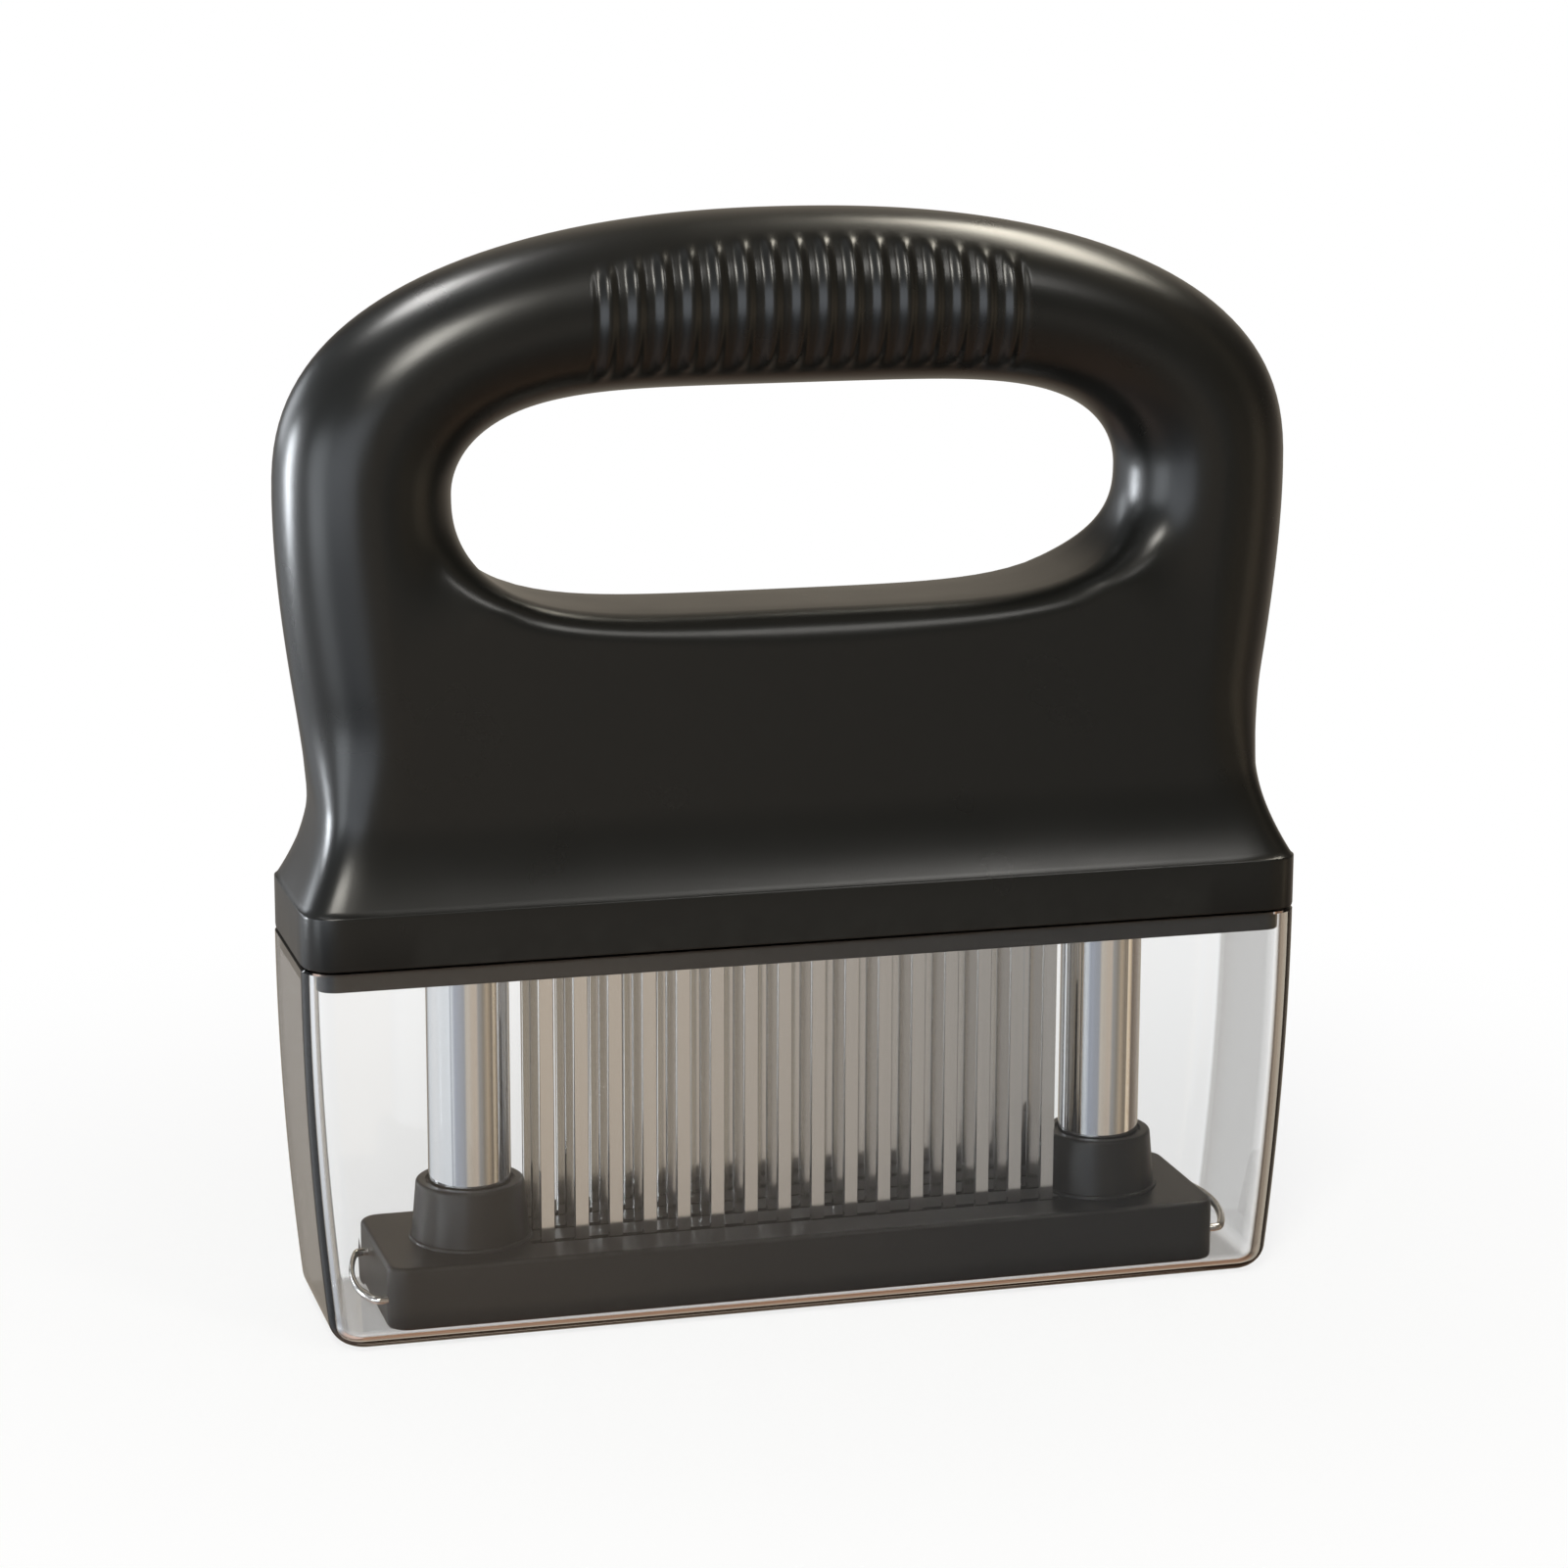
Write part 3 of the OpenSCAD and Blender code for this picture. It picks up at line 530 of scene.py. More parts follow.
def clear_plastic():
    """Clear moulded plastic with painted shade: its colour turns darker where it is seen along its
    surface.
    """
    material, tree, shader = new_material("clear plastic", CLEAR_FACE_ON, IOR=1.49,
                                          Specular_IOR_Level=0.3, Transmission_Weight=1)
    grain = use_group(tree, GRAIN, {"Scale": 90.0, "Roughness": 0.004, "Spread": 0.006})
    feed(tree, shader.inputs["Roughness"], grain["Roughness"])
    # Painted shade: a darker colour where the surface is seen edge on, in place of the dark edges
    # of a clear wall
    slant = add_node(tree, "LayerWeight", {"Blend": 0.5}).outputs["Facing"]
    depth = share_between(tree, slant, 0.41, 0.71)
    shade = mix_colors(tree, depth, (*CLEAR_FACE_ON, 1), (*CLEAR_PAINTED_SHADE, 1))
    feed(tree, shader.inputs["Base Color"], shade)
    return material


black_plastic = plastic("black plastic", (0.005, 0.0051, 0.0044), (0.04, 0.04, 0.036),
                        roughness=0.29, specular=0.42, scale=2600, depth=0.005)
insert_plastic = plastic("insert plastic", (0.02, 0.0185, 0.0165), (0.06, 0.058, 0.05),
                         roughness=0.42, specular=0.4, scale=2600, depth=0.0002)
block_plastic = plastic("block plastic", (0.03, 0.03, 0.029), (0.08, 0.08, 0.075),
                        roughness=0.5, specular=0.4, scale=1800, depth=0.02)
guide_plastic = plastic("guide plastic", (0.009, 0.0087, 0.008), (0.1, 0.095, 0.085),
                        roughness=0.36, specular=0.35, scale=2600, depth=0.0001)
blade_steel = metal("blade steel", (0.9, 0.89, 0.87), (0.84, 0.83, 0.81),
                    roughness=0.12, spread=0.06, stretch=(900, 900, 5), depth=0.0002)
# Painted shade: a darker copy of the blade steel, for the middle row of blades that sits in shade
# between the others
shaded_blade_steel = metal("inner blade steel", (0.74, 0.735, 0.725), (0.66, 0.655, 0.645),
                    roughness=0.16, spread=0.06, stretch=(900, 900, 5), depth=0.0002)
chrome = metal("post chrome", (0.88, 0.885, 0.89), (0.82, 0.825, 0.83),
               roughness=0.04, spread=0.03, stretch=(700, 700, 4), depth=0.0004)
spring_steel = metal("spring steel", (0.6, 0.6, 0.58), (0.45, 0.45, 0.43),
                     roughness=0.3, spread=0.1, stretch=(60, 60, 2500), depth=0.004)
clip_wire = metal("clip wire", (0.78, 0.77, 0.75), (0.65, 0.64, 0.62),
                  roughness=0.18, spread=0.1, stretch=(40, 900, 900), depth=0.002)
plain_steel = metal("plain steel", (0.62, 0.61, 0.59), (0.5, 0.49, 0.47),
                    roughness=0.3, spread=0.1, stretch=(30, 900, 900), depth=0.004)
clear = clear_plastic()

# ---------------------------------------------------------------- clear cover


def cover_ring(inset_x, inset_y, r, z):
    return plate_ring(FLANGE_W - 2 * inset_x, FLANGE_D - 2 * inset_y, r, z, steps=10, collar=0.3)


def cover_rings(wall, low, edge_r, edge_steps):
    """Levels of the cover's outside (wall 0) or inside, from its floor to its rim."""
    wall_steps, floor_inset, least_r = 22, 0.4, 0.3
    heights = [low + edge_r * (1 - math.cos(math.radians(90 * i / edge_steps)))
               for i in range(edge_steps)]
    heights += [lerp(low + edge_r, COVER_RIM - COVER_RIM_EDGE, i / wall_steps)
                for i in range(wall_steps + 1)]
    rings = [cover_ring(COVER_TAPER + wall + edge_r + floor_inset,
                        COVER_DRAFT + wall + edge_r + floor_inset, least_r, low)]
    for z in heights:
        t = (COVER_RIM - z) / COVER_RIM
        under = max(0, edge_r - (z - low))
        inset = wall + (edge_r - math.sqrt(edge_r ** 2 - under ** 2))
        rings.append(cover_ring(COVER_TAPER * t * t + inset, COVER_DRAFT * t + inset,
                                max(least_r, FLANGE_R - inset), z))
    return rings


def cover():
    outside = cover_rings(0, 0, COVER_EDGE_R, 8)
    inside = cover_rings(COVER_WALL, COVER_FLOOR, COVER_EDGE_R - COVER_WALL, 6)
    rim = [cover_ring(i, i, FLANGE_R - i, COVER_RIM)
           for i in (COVER_RIM_EDGE, COVER_WALL - COVER_RIM_EDGE)]
    return stack("clear_cover", outside + rim + inside[::-1], clear, crease=38)


place(cover(), "cover", "clear_plastic", "cover", "cover_floor")

# ---------------------------------------------------------------- handle

# Points of a section, which goes from the outline over the front face to the hole's wall
OUTER_STEPS, FACE_STEPS, HOLE_STEPS = 14, 16, 10
LAST = OUTER_STEPS + FACE_STEPS + HOLE_STEPS

# Quarter curves about the level WIDEST: half width, height, and exponents along X and Z
LOOP_CURVE = (HANDLE_W / 2, TOP - WIDEST, 2.2, 2.5)
HOLE_CURVE = (HOLE_W / 2, HOLE_TOP - WIDEST, 4.8, 2.0)
LEDGE_CURVE = (HOLE_W / 2, LEDGE - WIDEST, 4.6, 2.6)

# Angle of the ledge's curve where the limbs end, and angles of a grip's section where its
# front face begins and ends
BLEND_ANGLE = 50
GRIP_FACE_START, GRIP_FACE_END = 48.0, 132

# How sharply the skirt flares, how the side swells above the neck, and how a face's points
# crowd towards its outline
SKIRT_FLARE, SIDE_SWELL, FACE_CROWDING = 1.8, 1.2, 1.25


def curve_point(curve, angle):
    half_w, height, m, n = curve
    a = math.radians(angle)
    return half_w * power(math.cos(a), 2 / m), WIDEST + height * power(math.sin(a), 2 / n)


def angle_at(curve, x):
    return math.degrees(math.acos(power(x / curve[0], curve[2] / 2)))


def skirt_share(z):
    return power((NECK - z) / (NECK - SKIRT_FOOT), SKIRT_FLARE)


def side_x(z):
    if z < NECK:
        return lerp(NECK_W, FLANGE_W - 2 * SKIRT_STEP, skirt_share(z)) / 2
    swell = power(math.sin(math.pi / 2 * (z - NECK) / (WIDEST - NECK)), SIDE_SWELL)
    return lerp(NECK_W, HANDLE_W, swell) / 2


def half_depth(z):
    return lerp(GRIP_D, FLANGE_D - 2 * SKIRT_STEP, skirt_share(z)) / 2


def corner_angles():
    """Angles from the side (0) to the face (90), closer together about 45 degrees."""
    crowding, spread = 2.5, 14
    weights = []
    for i in range(OUTER_STEPS):
        off = ((i + 0.5) * 90 / OUTER_STEPS - 45) / spread
        weights.append(1 / (1 + crowding * math.exp(-off ** 2)))
    total, angle, angles = sum(weights), 0.0, [0.0]
    for w in weights:
        angle += 90 * w / total
        angles.append(angle)
    return angles


CORNER_ANGLES = corner_angles()


def ridge_height(x):
    """Height of the ridged grip at x: round ribs that stand in a slightly sunk band."""
    reach = RIDGE_COUNT * RIDGE_PITCH / 2
    run_out, past_ends = 1.2, 0.7
    sunk = RIDGE_VALLEY * smooth((reach + past_ends - abs(x)) / run_out)
    off = abs((x / RIDGE_PITCH) % 1 - 0.5) * RIDGE_PITCH
    if abs(x) > reach or off > RIDGE_HALF_W:
        return sunk
    return sunk + RIDGE_CREST * (0.5 + 0.5 * math.cos(math.pi * off / RIDGE_HALF_W))


def ridge_window(x, a):
    """Share of the ridges' height at angle a of a section: they end lower near the grip's ends."""
    top, bottom = 43 + 10 * (x / 30) ** 2, 141
    top_fade, bottom_fade = 9, 12
    return smooth((a - top) / top_fade) * smooth((bottom - a) / bottom_fade)


def round_point(section, j):
    """Point j of a round section of the loop."""
    outer, hole, x, start = (section[k] for k in ("outer", "hole", "ridge_x", "face_start"))
    on_face = j - OUTER_STEPS
    if on_face <= 0:
        a = start * CORNER_ANGLES[j] / 90
    elif on_face <= FACE_STEPS:
        a = lerp(start, GRIP_FACE_END, on_face / FACE_STEPS)
    else:
        a = GRIP_FACE_END + (180 - GRIP_FACE_END) * (on_face - FACE_STEPS) / HOLE_STEPS
    middle = ((outer[0] + hole[0]) / 2, (outer[1] + hole[1]) / 2)
    reach = ((outer[0] - hole[0]) / 2, (outer[1] - hole[1]) / 2)
    grow = ridge_height(x) * ridge_window(x, a) if x is not None else 0
    stretch = math.cos(math.radians(a)) * (1 + grow / math.hypot(*reach))
    return (middle[0] + reach[0] * stretch, -math.sin(math.radians(a)) * (GRIP_D / 2 + grow),
            middle[1] + reach[1] * stretch)


def hole_edge(section, i):
    """Rounded edge of the hole, from the face (0) to the middle of the wall (HOLE_STEPS)."""
    outer, hole = section["outer"], section["hole"]
    arc_steps = HOLE_STEPS - 2
    a = math.pi / 2 * max(0.0, 1 - i / arc_steps)
    gap = math.hypot(outer[0] - hole[0], outer[1] - hole[1])
    step = HOLE_EDGE_R * (1 - math.cos(a)) / gap
    wall = GRIP_D / 2 - HOLE_EDGE_R
    if i <= arc_steps:
        y = wall + HOLE_EDGE_R * math.sin(a)
    else:
        y = wall * (HOLE_STEPS - i) / 2
    return (lerp(hole[0], outer[0], step), -y, lerp(hole[1], outer[1], step))


def slab_point(section, j):
    """Point j of a section where the loop has run into the flat body."""
    x, z = section["outer"]
    deep = half_depth(z)
    if j <= OUTER_STEPS:
        if section["on_base"]:
            return (x, -deep * j / OUTER_STEPS, z)
        a = math.radians(CORNER_ANGLES[j])
        return (x - deep * (1 - math.cos(a)), -deep * math.sin(a), z)
    if j < OUTER_STEPS + FACE_STEPS:
        start, end = slab_point(section, OUTER_STEPS), hole_edge(section, 0)
        f = ((j - OUTER_STEPS) / FACE_STEPS) ** FACE_CROWDING
        z = lerp(start[2], end[2], f)
        return (lerp(start[0], end[0], f), -half_depth(z), z)
    return hole_edge(section, j - OUTER_STEPS - FACE_STEPS)


def front_point(section, j):
    a, b, f = round_point(section, j), slab_point(section, j), section["slab"]
    return tuple(lerp(p, q, f) for p, q in zip(a, b))


def handle_sections():
    """Sections from the top's middle round the right limb to the middle of the body."""
    grip_steps, shoulder_steps, limb_steps, base_steps = 168, 30, 30, 16
    grip_end = RIDGE_COUNT * RIDGE_PITCH / 2 + 1
    sections = []

    def add(outer, hole, slab=0.0, on_base=False, ridge_x=None, face_start=90.0):
        sections.append({"outer": outer, "hole": hole, "slab": slab, "on_base": on_base,
                         "ridge_x": ridge_x, "face_start": face_start})

    for k in range(grip_steps + 1):
        x = grip_end * k / grip_steps
        add(curve_point(LOOP_CURVE, angle_at(LOOP_CURVE, x)),
            curve_point(HOLE_CURVE, angle_at(HOLE_CURVE, x)),
            ridge_x=x, face_start=GRIP_FACE_START)
    for k in range(1, shoulder_steps + 1):
        f = 1 - k / shoulder_steps
        add(curve_point(LOOP_CURVE, f * angle_at(LOOP_CURVE, grip_end)),
            curve_point(HOLE_CURVE, f * angle_at(HOLE_CURVE, grip_end)),
            face_start=lerp(90, GRIP_FACE_START, f))
    for k in range(1, limb_steps + 1):
        f = k / limb_steps
        z = lerp(WIDEST, SLAB, f)
        add((side_x(z), z), curve_point(LEDGE_CURVE, BLEND_ANGLE * f), slab=smooth(f))
    reach = side_x(SLAB) - half_depth(SLAB)
    hole_x = curve_point(LEDGE_CURVE, BLEND_ANGLE)[0]
    for k in range(1, base_steps + 1):
        f = 1 - k / base_steps
        add((reach * f, SLAB), curve_point(LEDGE_CURVE, angle_at(LEDGE_CURVE, hole_x * f)),
            slab=1.0, on_base=True)
    return sections


def superellipse_reach(angle, n, deep):
    """Distance from the middle of a superellipse of half width deep to its outline."""
    a = math.radians(angle)
    return deep * (power(math.cos(a), n) + power(math.sin(a), n)) ** (-1 / n)


def round_corner_reach(angle, r, deep):
    """The same for a square of half width deep with corner radius r."""
    a = math.radians(angle)
    u, v = math.cos(a), math.sin(a)
    flat = deep - r
    if deep * v / max(u, 1e-9) <= flat:
        return deep / u
    if deep * u / max(v, 1e-9) <= flat:
        return deep / v
    along = flat * (u + v)
    return along + math.sqrt(max(0, along ** 2 - 2 * flat ** 2 + r ** 2))


def flange_edge(degrees):
    """(inset, z) at an angle of the flange's rounded upper edge, from 0 at its side."""
    a = math.radians(degrees)
    return FLANGE_EDGE_R * (1 - math.cos(a)), SKIRT - FLANGE_EDGE_R * (1 - math.sin(a))


def body_levels():
    """(z, half width, half depth, corner's reaches) from the slab down to the flange's foot."""
    levels = []
    flare_steps, flare_end, crowding = 30, flange_edge(56)[1], 0.8
    roundest, squarest, growth = 2, 8, 2.2
    for k in range(flare_steps + 1):
        z = lerp(SLAB, flare_end, (k / flare_steps) ** crowding)
        share = ((SLAB - z) / (SLAB - SKIRT_FOOT)) ** growth
        squareness = lerp(roundest, squarest, share)
        deep = half_depth(z)
        levels.append((z, side_x(z), deep,
                       [superellipse_reach(a, squareness, deep) for a in CORNER_ANGLES]))
    foot_r, foot_inset = 0.3, 0.8
    profile = [flange_edge(a) for a in (46, 37, 28, 18, 9, 0)]
    profile += round_profile(FLANGE, foot_r, True, 3)[::-1] + [(foot_inset, FLANGE)]
    for inset, z in profile:
        deep = FLANGE_D / 2 - inset
        levels.append((z, FLANGE_W / 2 - inset, deep,
                       [round_corner_reach(a, FLANGE_R - inset, deep) for a in CORNER_ANGLES]))
    return levels


def body_ring(z, half_w, deep, reaches, face_xs):
    """A level of the body: right corner from back to front, front, left corner, back."""
    cx = half_w - deep
    corner = [(cx + r * math.cos(math.radians(a)), r * math.sin(math.radians(a)))
              for a, r in zip(CORNER_ANGLES, reaches)]
    right = corner[:0:-1] + [corner[0]] + [(x, -y) for x, y in corner[1:]]
    face = [cx * f for f in face_xs]
    ring = right + [(x, -deep) for x in face]
    ring += [(-x, y) for x, y in right[::-1]] + [(-x, deep) for x in face]
    return [(x, y, z) for x, y in ring]


def handle():
    half = handle_sections()
    closed = [s for s in half if not s["on_base"]]
    lower = half[len(closed) - 1:]

    def loop(section, sx, first):
        front = [front_point(section, j) for j in range(first, LAST + 1)]
        back = [(p[0], -p[1], p[2]) for p in front[:-1]][::-1]
        ring = front + (back[:-1] if first == 0 else back)
        return [(sx * x, y, z) for x, y, z in ring]

    points, faces = skin([loop(s, RIGHT, 0) for s in closed[::-1]]
                         + [loop(s, LEFT, 0) for s in closed[1:]])
    base = [loop(s, RIGHT, OUTER_STEPS) for s in lower]
    base += [loop(s, LEFT, OUTER_STEPS) for s in lower[-2::-1]]
    add_faces(points, faces, *skin(base, closed=False))

    face_steps = 32
    face_xs = [1 - 2 * k / face_steps for k in range(1, face_steps)]
    rings = [body_ring(*level, face_xs) for level in body_levels()]
    add_faces(points, faces, *skin(rings))
    n = len(rings[-1])
    faces.append(tuple(len(points) - n + j for j in range(n)))
    body = solid("loop_handle", points, faces, black_plastic, crease=40)
    hollow_out(body)
    return body


def hollow_out(body):
    """The recess for the insert, the pocket over the blades and the two bores for the posts."""
    recess = [plate_ring(INSERT_W + 2 * DROP_GAP, INSERT_D + 2 * DROP_GAP, INSERT_R + DROP_GAP, z)
              for z in (FLANGE - 2 * PAST, SEAT)]
    cutters = [stack("recess", recess, black_plastic),
               box("pocket", POCKET_HALF_W, POCKET_HALF_D, 0, SEAT - PAST, CAVITY, black_plastic)]
    bore = [(0, SEAT - PAST), (BORE_R, SEAT - PAST), (BORE_R, BORE_TOP), (PEG_R, BORE_TOP),
            (PEG_R, BORE_TOP - PEG_L), (0, BORE_TOP - PEG_L)]
    for side in (LEFT, RIGHT):
        cutters.append(turned("bore", bore, side * POST_X, 0, black_plastic, steps=48))
    cut(body, cutters, crease=40)


place(handle(), "handle", "black_plastic", "handle")

# ---------------------------------------------------------------- base insert


def base_insert():
    low_edge, high_edge, other_edges, window_gap = 0.35, 0.2, 0.12, 0.1
    insert = plate("base_plate", INSERT_W, INSERT_D, INSERT_R, LIP, SEAT, low_edge, high_edge,
                   insert_plastic)
    low, high = LIP - PAST, SEAT + PAST
    post_hole = rod_profile(POST_R + PUSH_GAP, low, high)
    screw_hole = rod_profile(SCREW_R, low, high)
    screw_seat = rod_profile(SCREW_HEAD_R, low, LIP + SCREW_SINK)
    cutters = [box("window", BLOCK_W / 2 + window_gap, BLOCK_D / 2 + window_gap, 0, low, high,
                   insert_plastic)]
    for side in (LEFT, RIGHT):
        cutters.append(turned("post hole", post_hole, side * POST_X, 0, insert_plastic))
        for y in (-SCREW_Y, SCREW_Y):
            for name, profile, steps in (("screw hole", screw_hole, 32),
                                         ("screw seat", screw_seat, 40)):
                cutters.append(turned(name, profile, side * SCREW_X, y, insert_plastic, steps))
    cut(insert, cutters)
    soften_edges(insert, other_edges)
    return insert


place(base_insert(), "handle", "black_plastic", "base_insert")

# ---------------------------------------------------------------- blades


def blade():
    """Points and faces of a knife: a flat strip with eased edges, a slanted ground tip, a head."""
    half, t, e = BLADE_W / 2, BLADE_T / 2, BLADE_EASE
    head_low, head_high = BLADE_HEAD, BLADE_HEAD + HEAD_H
    ground_low, ground_high = BLADE_TIP + 0.75, BLADE_TIP + TIP_RISE + 0.6
    outline = [(-half, BLADE_TIP), (half, BLADE_TIP + TIP_RISE),
               (half, head_low), (HEAD_HALF_W, head_low), (HEAD_HALF_W, head_high),
               (-HEAD_HALF_W, head_high), (-HEAD_HALF_W, head_low), (-half, head_low)]
    inner = [(-half + e, ground_low), (half - e, ground_high),
             (half - e, head_low), (HEAD_HALF_W - e, head_low + e),
             (HEAD_HALF_W - e, head_high - e), (-HEAD_HALF_W + e, head_high - e),
             (-HEAD_HALF_W + e, head_low + e), (-half + e, head_low)]
    n = len(outline)
    edge = [TIP_EDGE] * 2 + [t - e] * (n - 2)
    flat = [t] * n

    def ring(side, line, depths):
        return [(x, side * y, z) for (x, z), y in zip(line, depths)]

    points, faces = skin([ring(-1, inner, flat), ring(-1, outline, edge),
                          ring(1, outline, edge), ring(1, inner, flat)])
    faces.append(tuple(range(n)))
    faces.append(tuple(len(points) - n + j for j in range(n)))
    return points, faces


def blade_row(name, y, steel):
    points, faces = [], []
    blade_points, blade_faces = blade()
    for i in range(BLADE_COUNT):
        x = (i - (BLADE_COUNT - 1) / 2) * BLADE_PITCH
        add_faces(points, faces, [(x + px, y + py, pz) for px, py, pz in blade_points],
                  blade_faces)
    return solid(name, points, faces, steel, crease=15)


place(blade_row("front_knives", -ROW_PITCH, blade_steel), "handle", "blade_steel", "front_blades")
# The middle row takes the darker copy of the blade steel, which is painted shade
place(blade_row("middle_knives", 0, shaded_blade_steel), "handle", "blade_steel", "middle_blades")
place(blade_row("rear_knives", ROW_PITCH, blade_steel), "handle", "blade_steel", "rear_blades")

# ---------------------------------------------------------------- posts


def post(side, name):
    e = POST_EASE
    profile = [(TUBE_R + e, POST_SHOULDER), (POST_R - e, POST_SHOULDER),
               (POST_R, POST_SHOULDER + e), (POST_R, POST_TOP - e),
               (POST_R - e, POST_TOP), (TUBE_R + e, POST_TOP),
               (TUBE_R, POST_TOP - e), (TUBE_R, POST_SHOULDER + e)]
    return turned(name, profile, side * POST_X, 0, chrome, steps=96)


place(post(LEFT, "tube_left"), "guide", "post_chrome", "post_left")
place(post(RIGHT, "tube_right"), "guide", "post_chrome", "post_right")

# ---------------------------------------------------------------- guide


def boss(side):
    """A conical boss with a rounded top edge and a bead round its foot."""
    bead = ((0.35, 0), (0.32, 0.25), (0.2, 0.42), (-0.04, 0.5))
    profile = [(0, GUIDE_TOP - PAST), (BOSS_FOOT_R, GUIDE_TOP - PAST)]
    profile += [(BOSS_FOOT_R + out, GUIDE_TOP + up) for out, up in bead]
    profile += [(BOSS_TOP_R - BOSS_EDGE_R + BOSS_EDGE_R * math.cos(a),
                 BOSS_TOP - BOSS_EDGE_R + BOSS_EDGE_R * math.sin(a))
                for a in (math.radians(t) for t in (0, 22, 45, 68, 90))]
    profile += [(0, BOSS_TOP)]
    return turned("boss", profile, side * POST_X, 0, guide_plastic, steps=96, crease=40)


def blade_guide():
    """The guide with its bosses, cut by the slots, the posts' seats and the clips' bores."""
    guide = plate("guide_plate", GUIDE_W, GUIDE_D, GUIDE_R, GUIDE_FLOOR, GUIDE_TOP,
                  GUIDE_EDGE_R, GUIDE_EDGE_R, guide_plastic)
    cut(guide, [boss(LEFT), boss(RIGHT)], "UNION", crease=40)
    seat_floor, rim = GUIDE_FLOOR + 2.5, 0.5
    seat = rod_profile(POST_R + PUSH_GAP, seat_floor, BOSS_TOP + PAST)
    rim_recess = rod_profile(POST_R + rim, BOSS_TOP - rim, BOSS_TOP + PAST)
    cutters = [box("slot", SLOT_HALF_L, SLOT_HALF_W, row * ROW_PITCH, GUIDE_FLOOR - PAST,
                   GUIDE_TOP + PAST, guide_plastic) for row in (-1, 0, 1)]
    for side in (LEFT, RIGHT):
        for name, profile in (("post seat", seat), ("rim recess", rim_recess)):
            cutters.append(turned(name, profile, side * POST_X, 0, guide_plastic, steps=96))
        cutters.append(leg_bore(side, LOCK_Y, LOCK_LEVEL))
        cutters.append(leg_bore(side, FRONT_Y, FRONT_LEVEL))
    cut(guide, cutters, crease=40)
    return guide


def leg_bore(side, y, z):
    ends = [[(side * x, y + a, z + b) for a, b in circle(WIRE_R + PUSH_GAP, 24)]
            for x in (GUIDE_W / 2 + PAST, CLIP_TIP_X - DROP_GAP)]
    return stack("leg bore", ends, guide_plastic)


place(blade_guide(), "guide", "guide_plastic", "blade_guide", "boss_left", "boss_right")

# ---------------------------------------------------------------- clips


def clip(side, name):
    """The wire loop at one end of the guide, through the same bends as its solid."""
    small_steps, large_steps = 8, 20
    run_y, run_z = LOCK_Y - FRONT_Y, LOCK_LEVEL - FRONT_LEVEL
    tilt, half = math.atan2(run_z, run_y), math.hypot(run_y, run_z) / 2
    bend, small_r = math.radians(CLIP_BEND), CLIP_BEND_R
    large_r = (half - small_r * (1 - math.cos(bend))) / math.cos(bend)
    rise = small_r * math.sin(bend) + large_r * (1 - math.sin(bend))
    bend_x = GUIDE_W / 2 + CLIP_OUT - WIRE_R - rise
    small = [(bend_x + small_r * math.sin(a), half - small_r * (1 - math.cos(a)))
             for a in (bend * i / small_steps for i in range(small_steps + 1))]
    large = [(bend_x + rise - large_r * (1 - math.cos(a)), large_r * math.sin(a))
             for a in ((math.pi / 2 - bend) * (1 - 2 * i / large_steps)
                       for i in range(1, large_steps))]
    flat = [(CLIP_TIP_X, half)] + small + large
    flat += [(x, -v) for x, v in small[::-1]] + [(CLIP_TIP_X, -half)]
    y0, z0 = (LOCK_Y + FRONT_Y) / 2, (LOCK_LEVEL + FRONT_LEVEL) / 2
    path = [(side * x, y0 + v * math.cos(tilt), z0 + v * math.sin(tilt)) for x, v in flat]
    return wire(name, path, WIRE_R, clip_wire, sides=20)


place(clip(LEFT, "wire_loop_left"), "clip_left", "wire", "clip_left")
place(clip(RIGHT, "wire_loop_right"), "clip_right", "wire", "clip_right")

# ---------------------------------------------------------------- springs


def spring(side, name, replaced):
    """A coil between its head in the handle and its foot in the guide."""
    curl_steps = 28
    steps = SPRING_CURLS * curl_steps
    path = []
    for i in range(steps + 1):
        a = 2 * math.pi * i / curl_steps
        path.append((side * POST_X + SPRING_R * math.cos(a), SPRING_R * math.sin(a),
                     lerp(SPRING_FOOT + SPRING_WIRE_R, SPRING_HEAD - SPRING_WIRE_R, i / steps)))
    piece = wire(name, path, SPRING_WIRE_R, spring_steel, sides=12)
    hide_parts(replaced)
    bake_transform(piece)


spring(LEFT, "coil_left", "spring_left")
spring(RIGHT, "coil_right", "spring_right")

# ---------------------------------------------------------------- solids that stay as they are

for node, material in {
    "blade_block": block_plastic,
    "post_foot_left": block_plastic,
    "post_foot_right": block_plastic,
    "clamp_plate": plain_steel,
    "clamp_screws": plain_steel,
    "insert_screws": plain_steel,
    "stop_collar_left": plain_steel,
    "stop_collar_right": plain_steel,
}.items():
    for place_in_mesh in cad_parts[node].material_slots:
        place_in_mesh.material = material

# ---------------------------------------------------------------- studio

CAMERA_AZIMUTH, CAMERA_ELEVATION, CAMERA_ROLL = -15.493, 12.516, 0.162
CAMERA_PLACE = (-164.69, -590.91, 212.72)
CAMERA_LENS, CAMERA_SENSOR = 97.73, 36

# Colours of the studio by azimuth (0 in front, 90 on the right), and shares of them by elevation
ROOM = (
    (-180, (0.3, 0.27, 0.24)), (-164, (0.3, 0.28, 0.26)), (-146, (0.8, 0.84, 0.88)),
    (-118, (0.95, 0.97, 1.0)), (-60, (0.9, 0.95, 1.0)), (-48, (0.4, 0.43, 0.5)),
    (-22, (0.36, 0.37, 0.4)), (-15, (0.62, 0.56, 0.48)), (2, (0.58, 0.49, 0.4)),
    (12, (0.6, 0.51, 0.42)), (19, (0.34, 0.33, 0.32)), (32, (0.26, 0.23, 0.19)),
    (44, (0.46, 0.36, 0.25)), (58, (0.2, 0.16, 0.12)), (66, (0.95, 0.78, 0.56)),
    (76, (0.75, 0.58, 0.4)), (86, (0.16, 0.12, 0.09)), (130, (0.42, 0.35, 0.28)),
    (179, (0.42, 0.37, 0.31)),
)
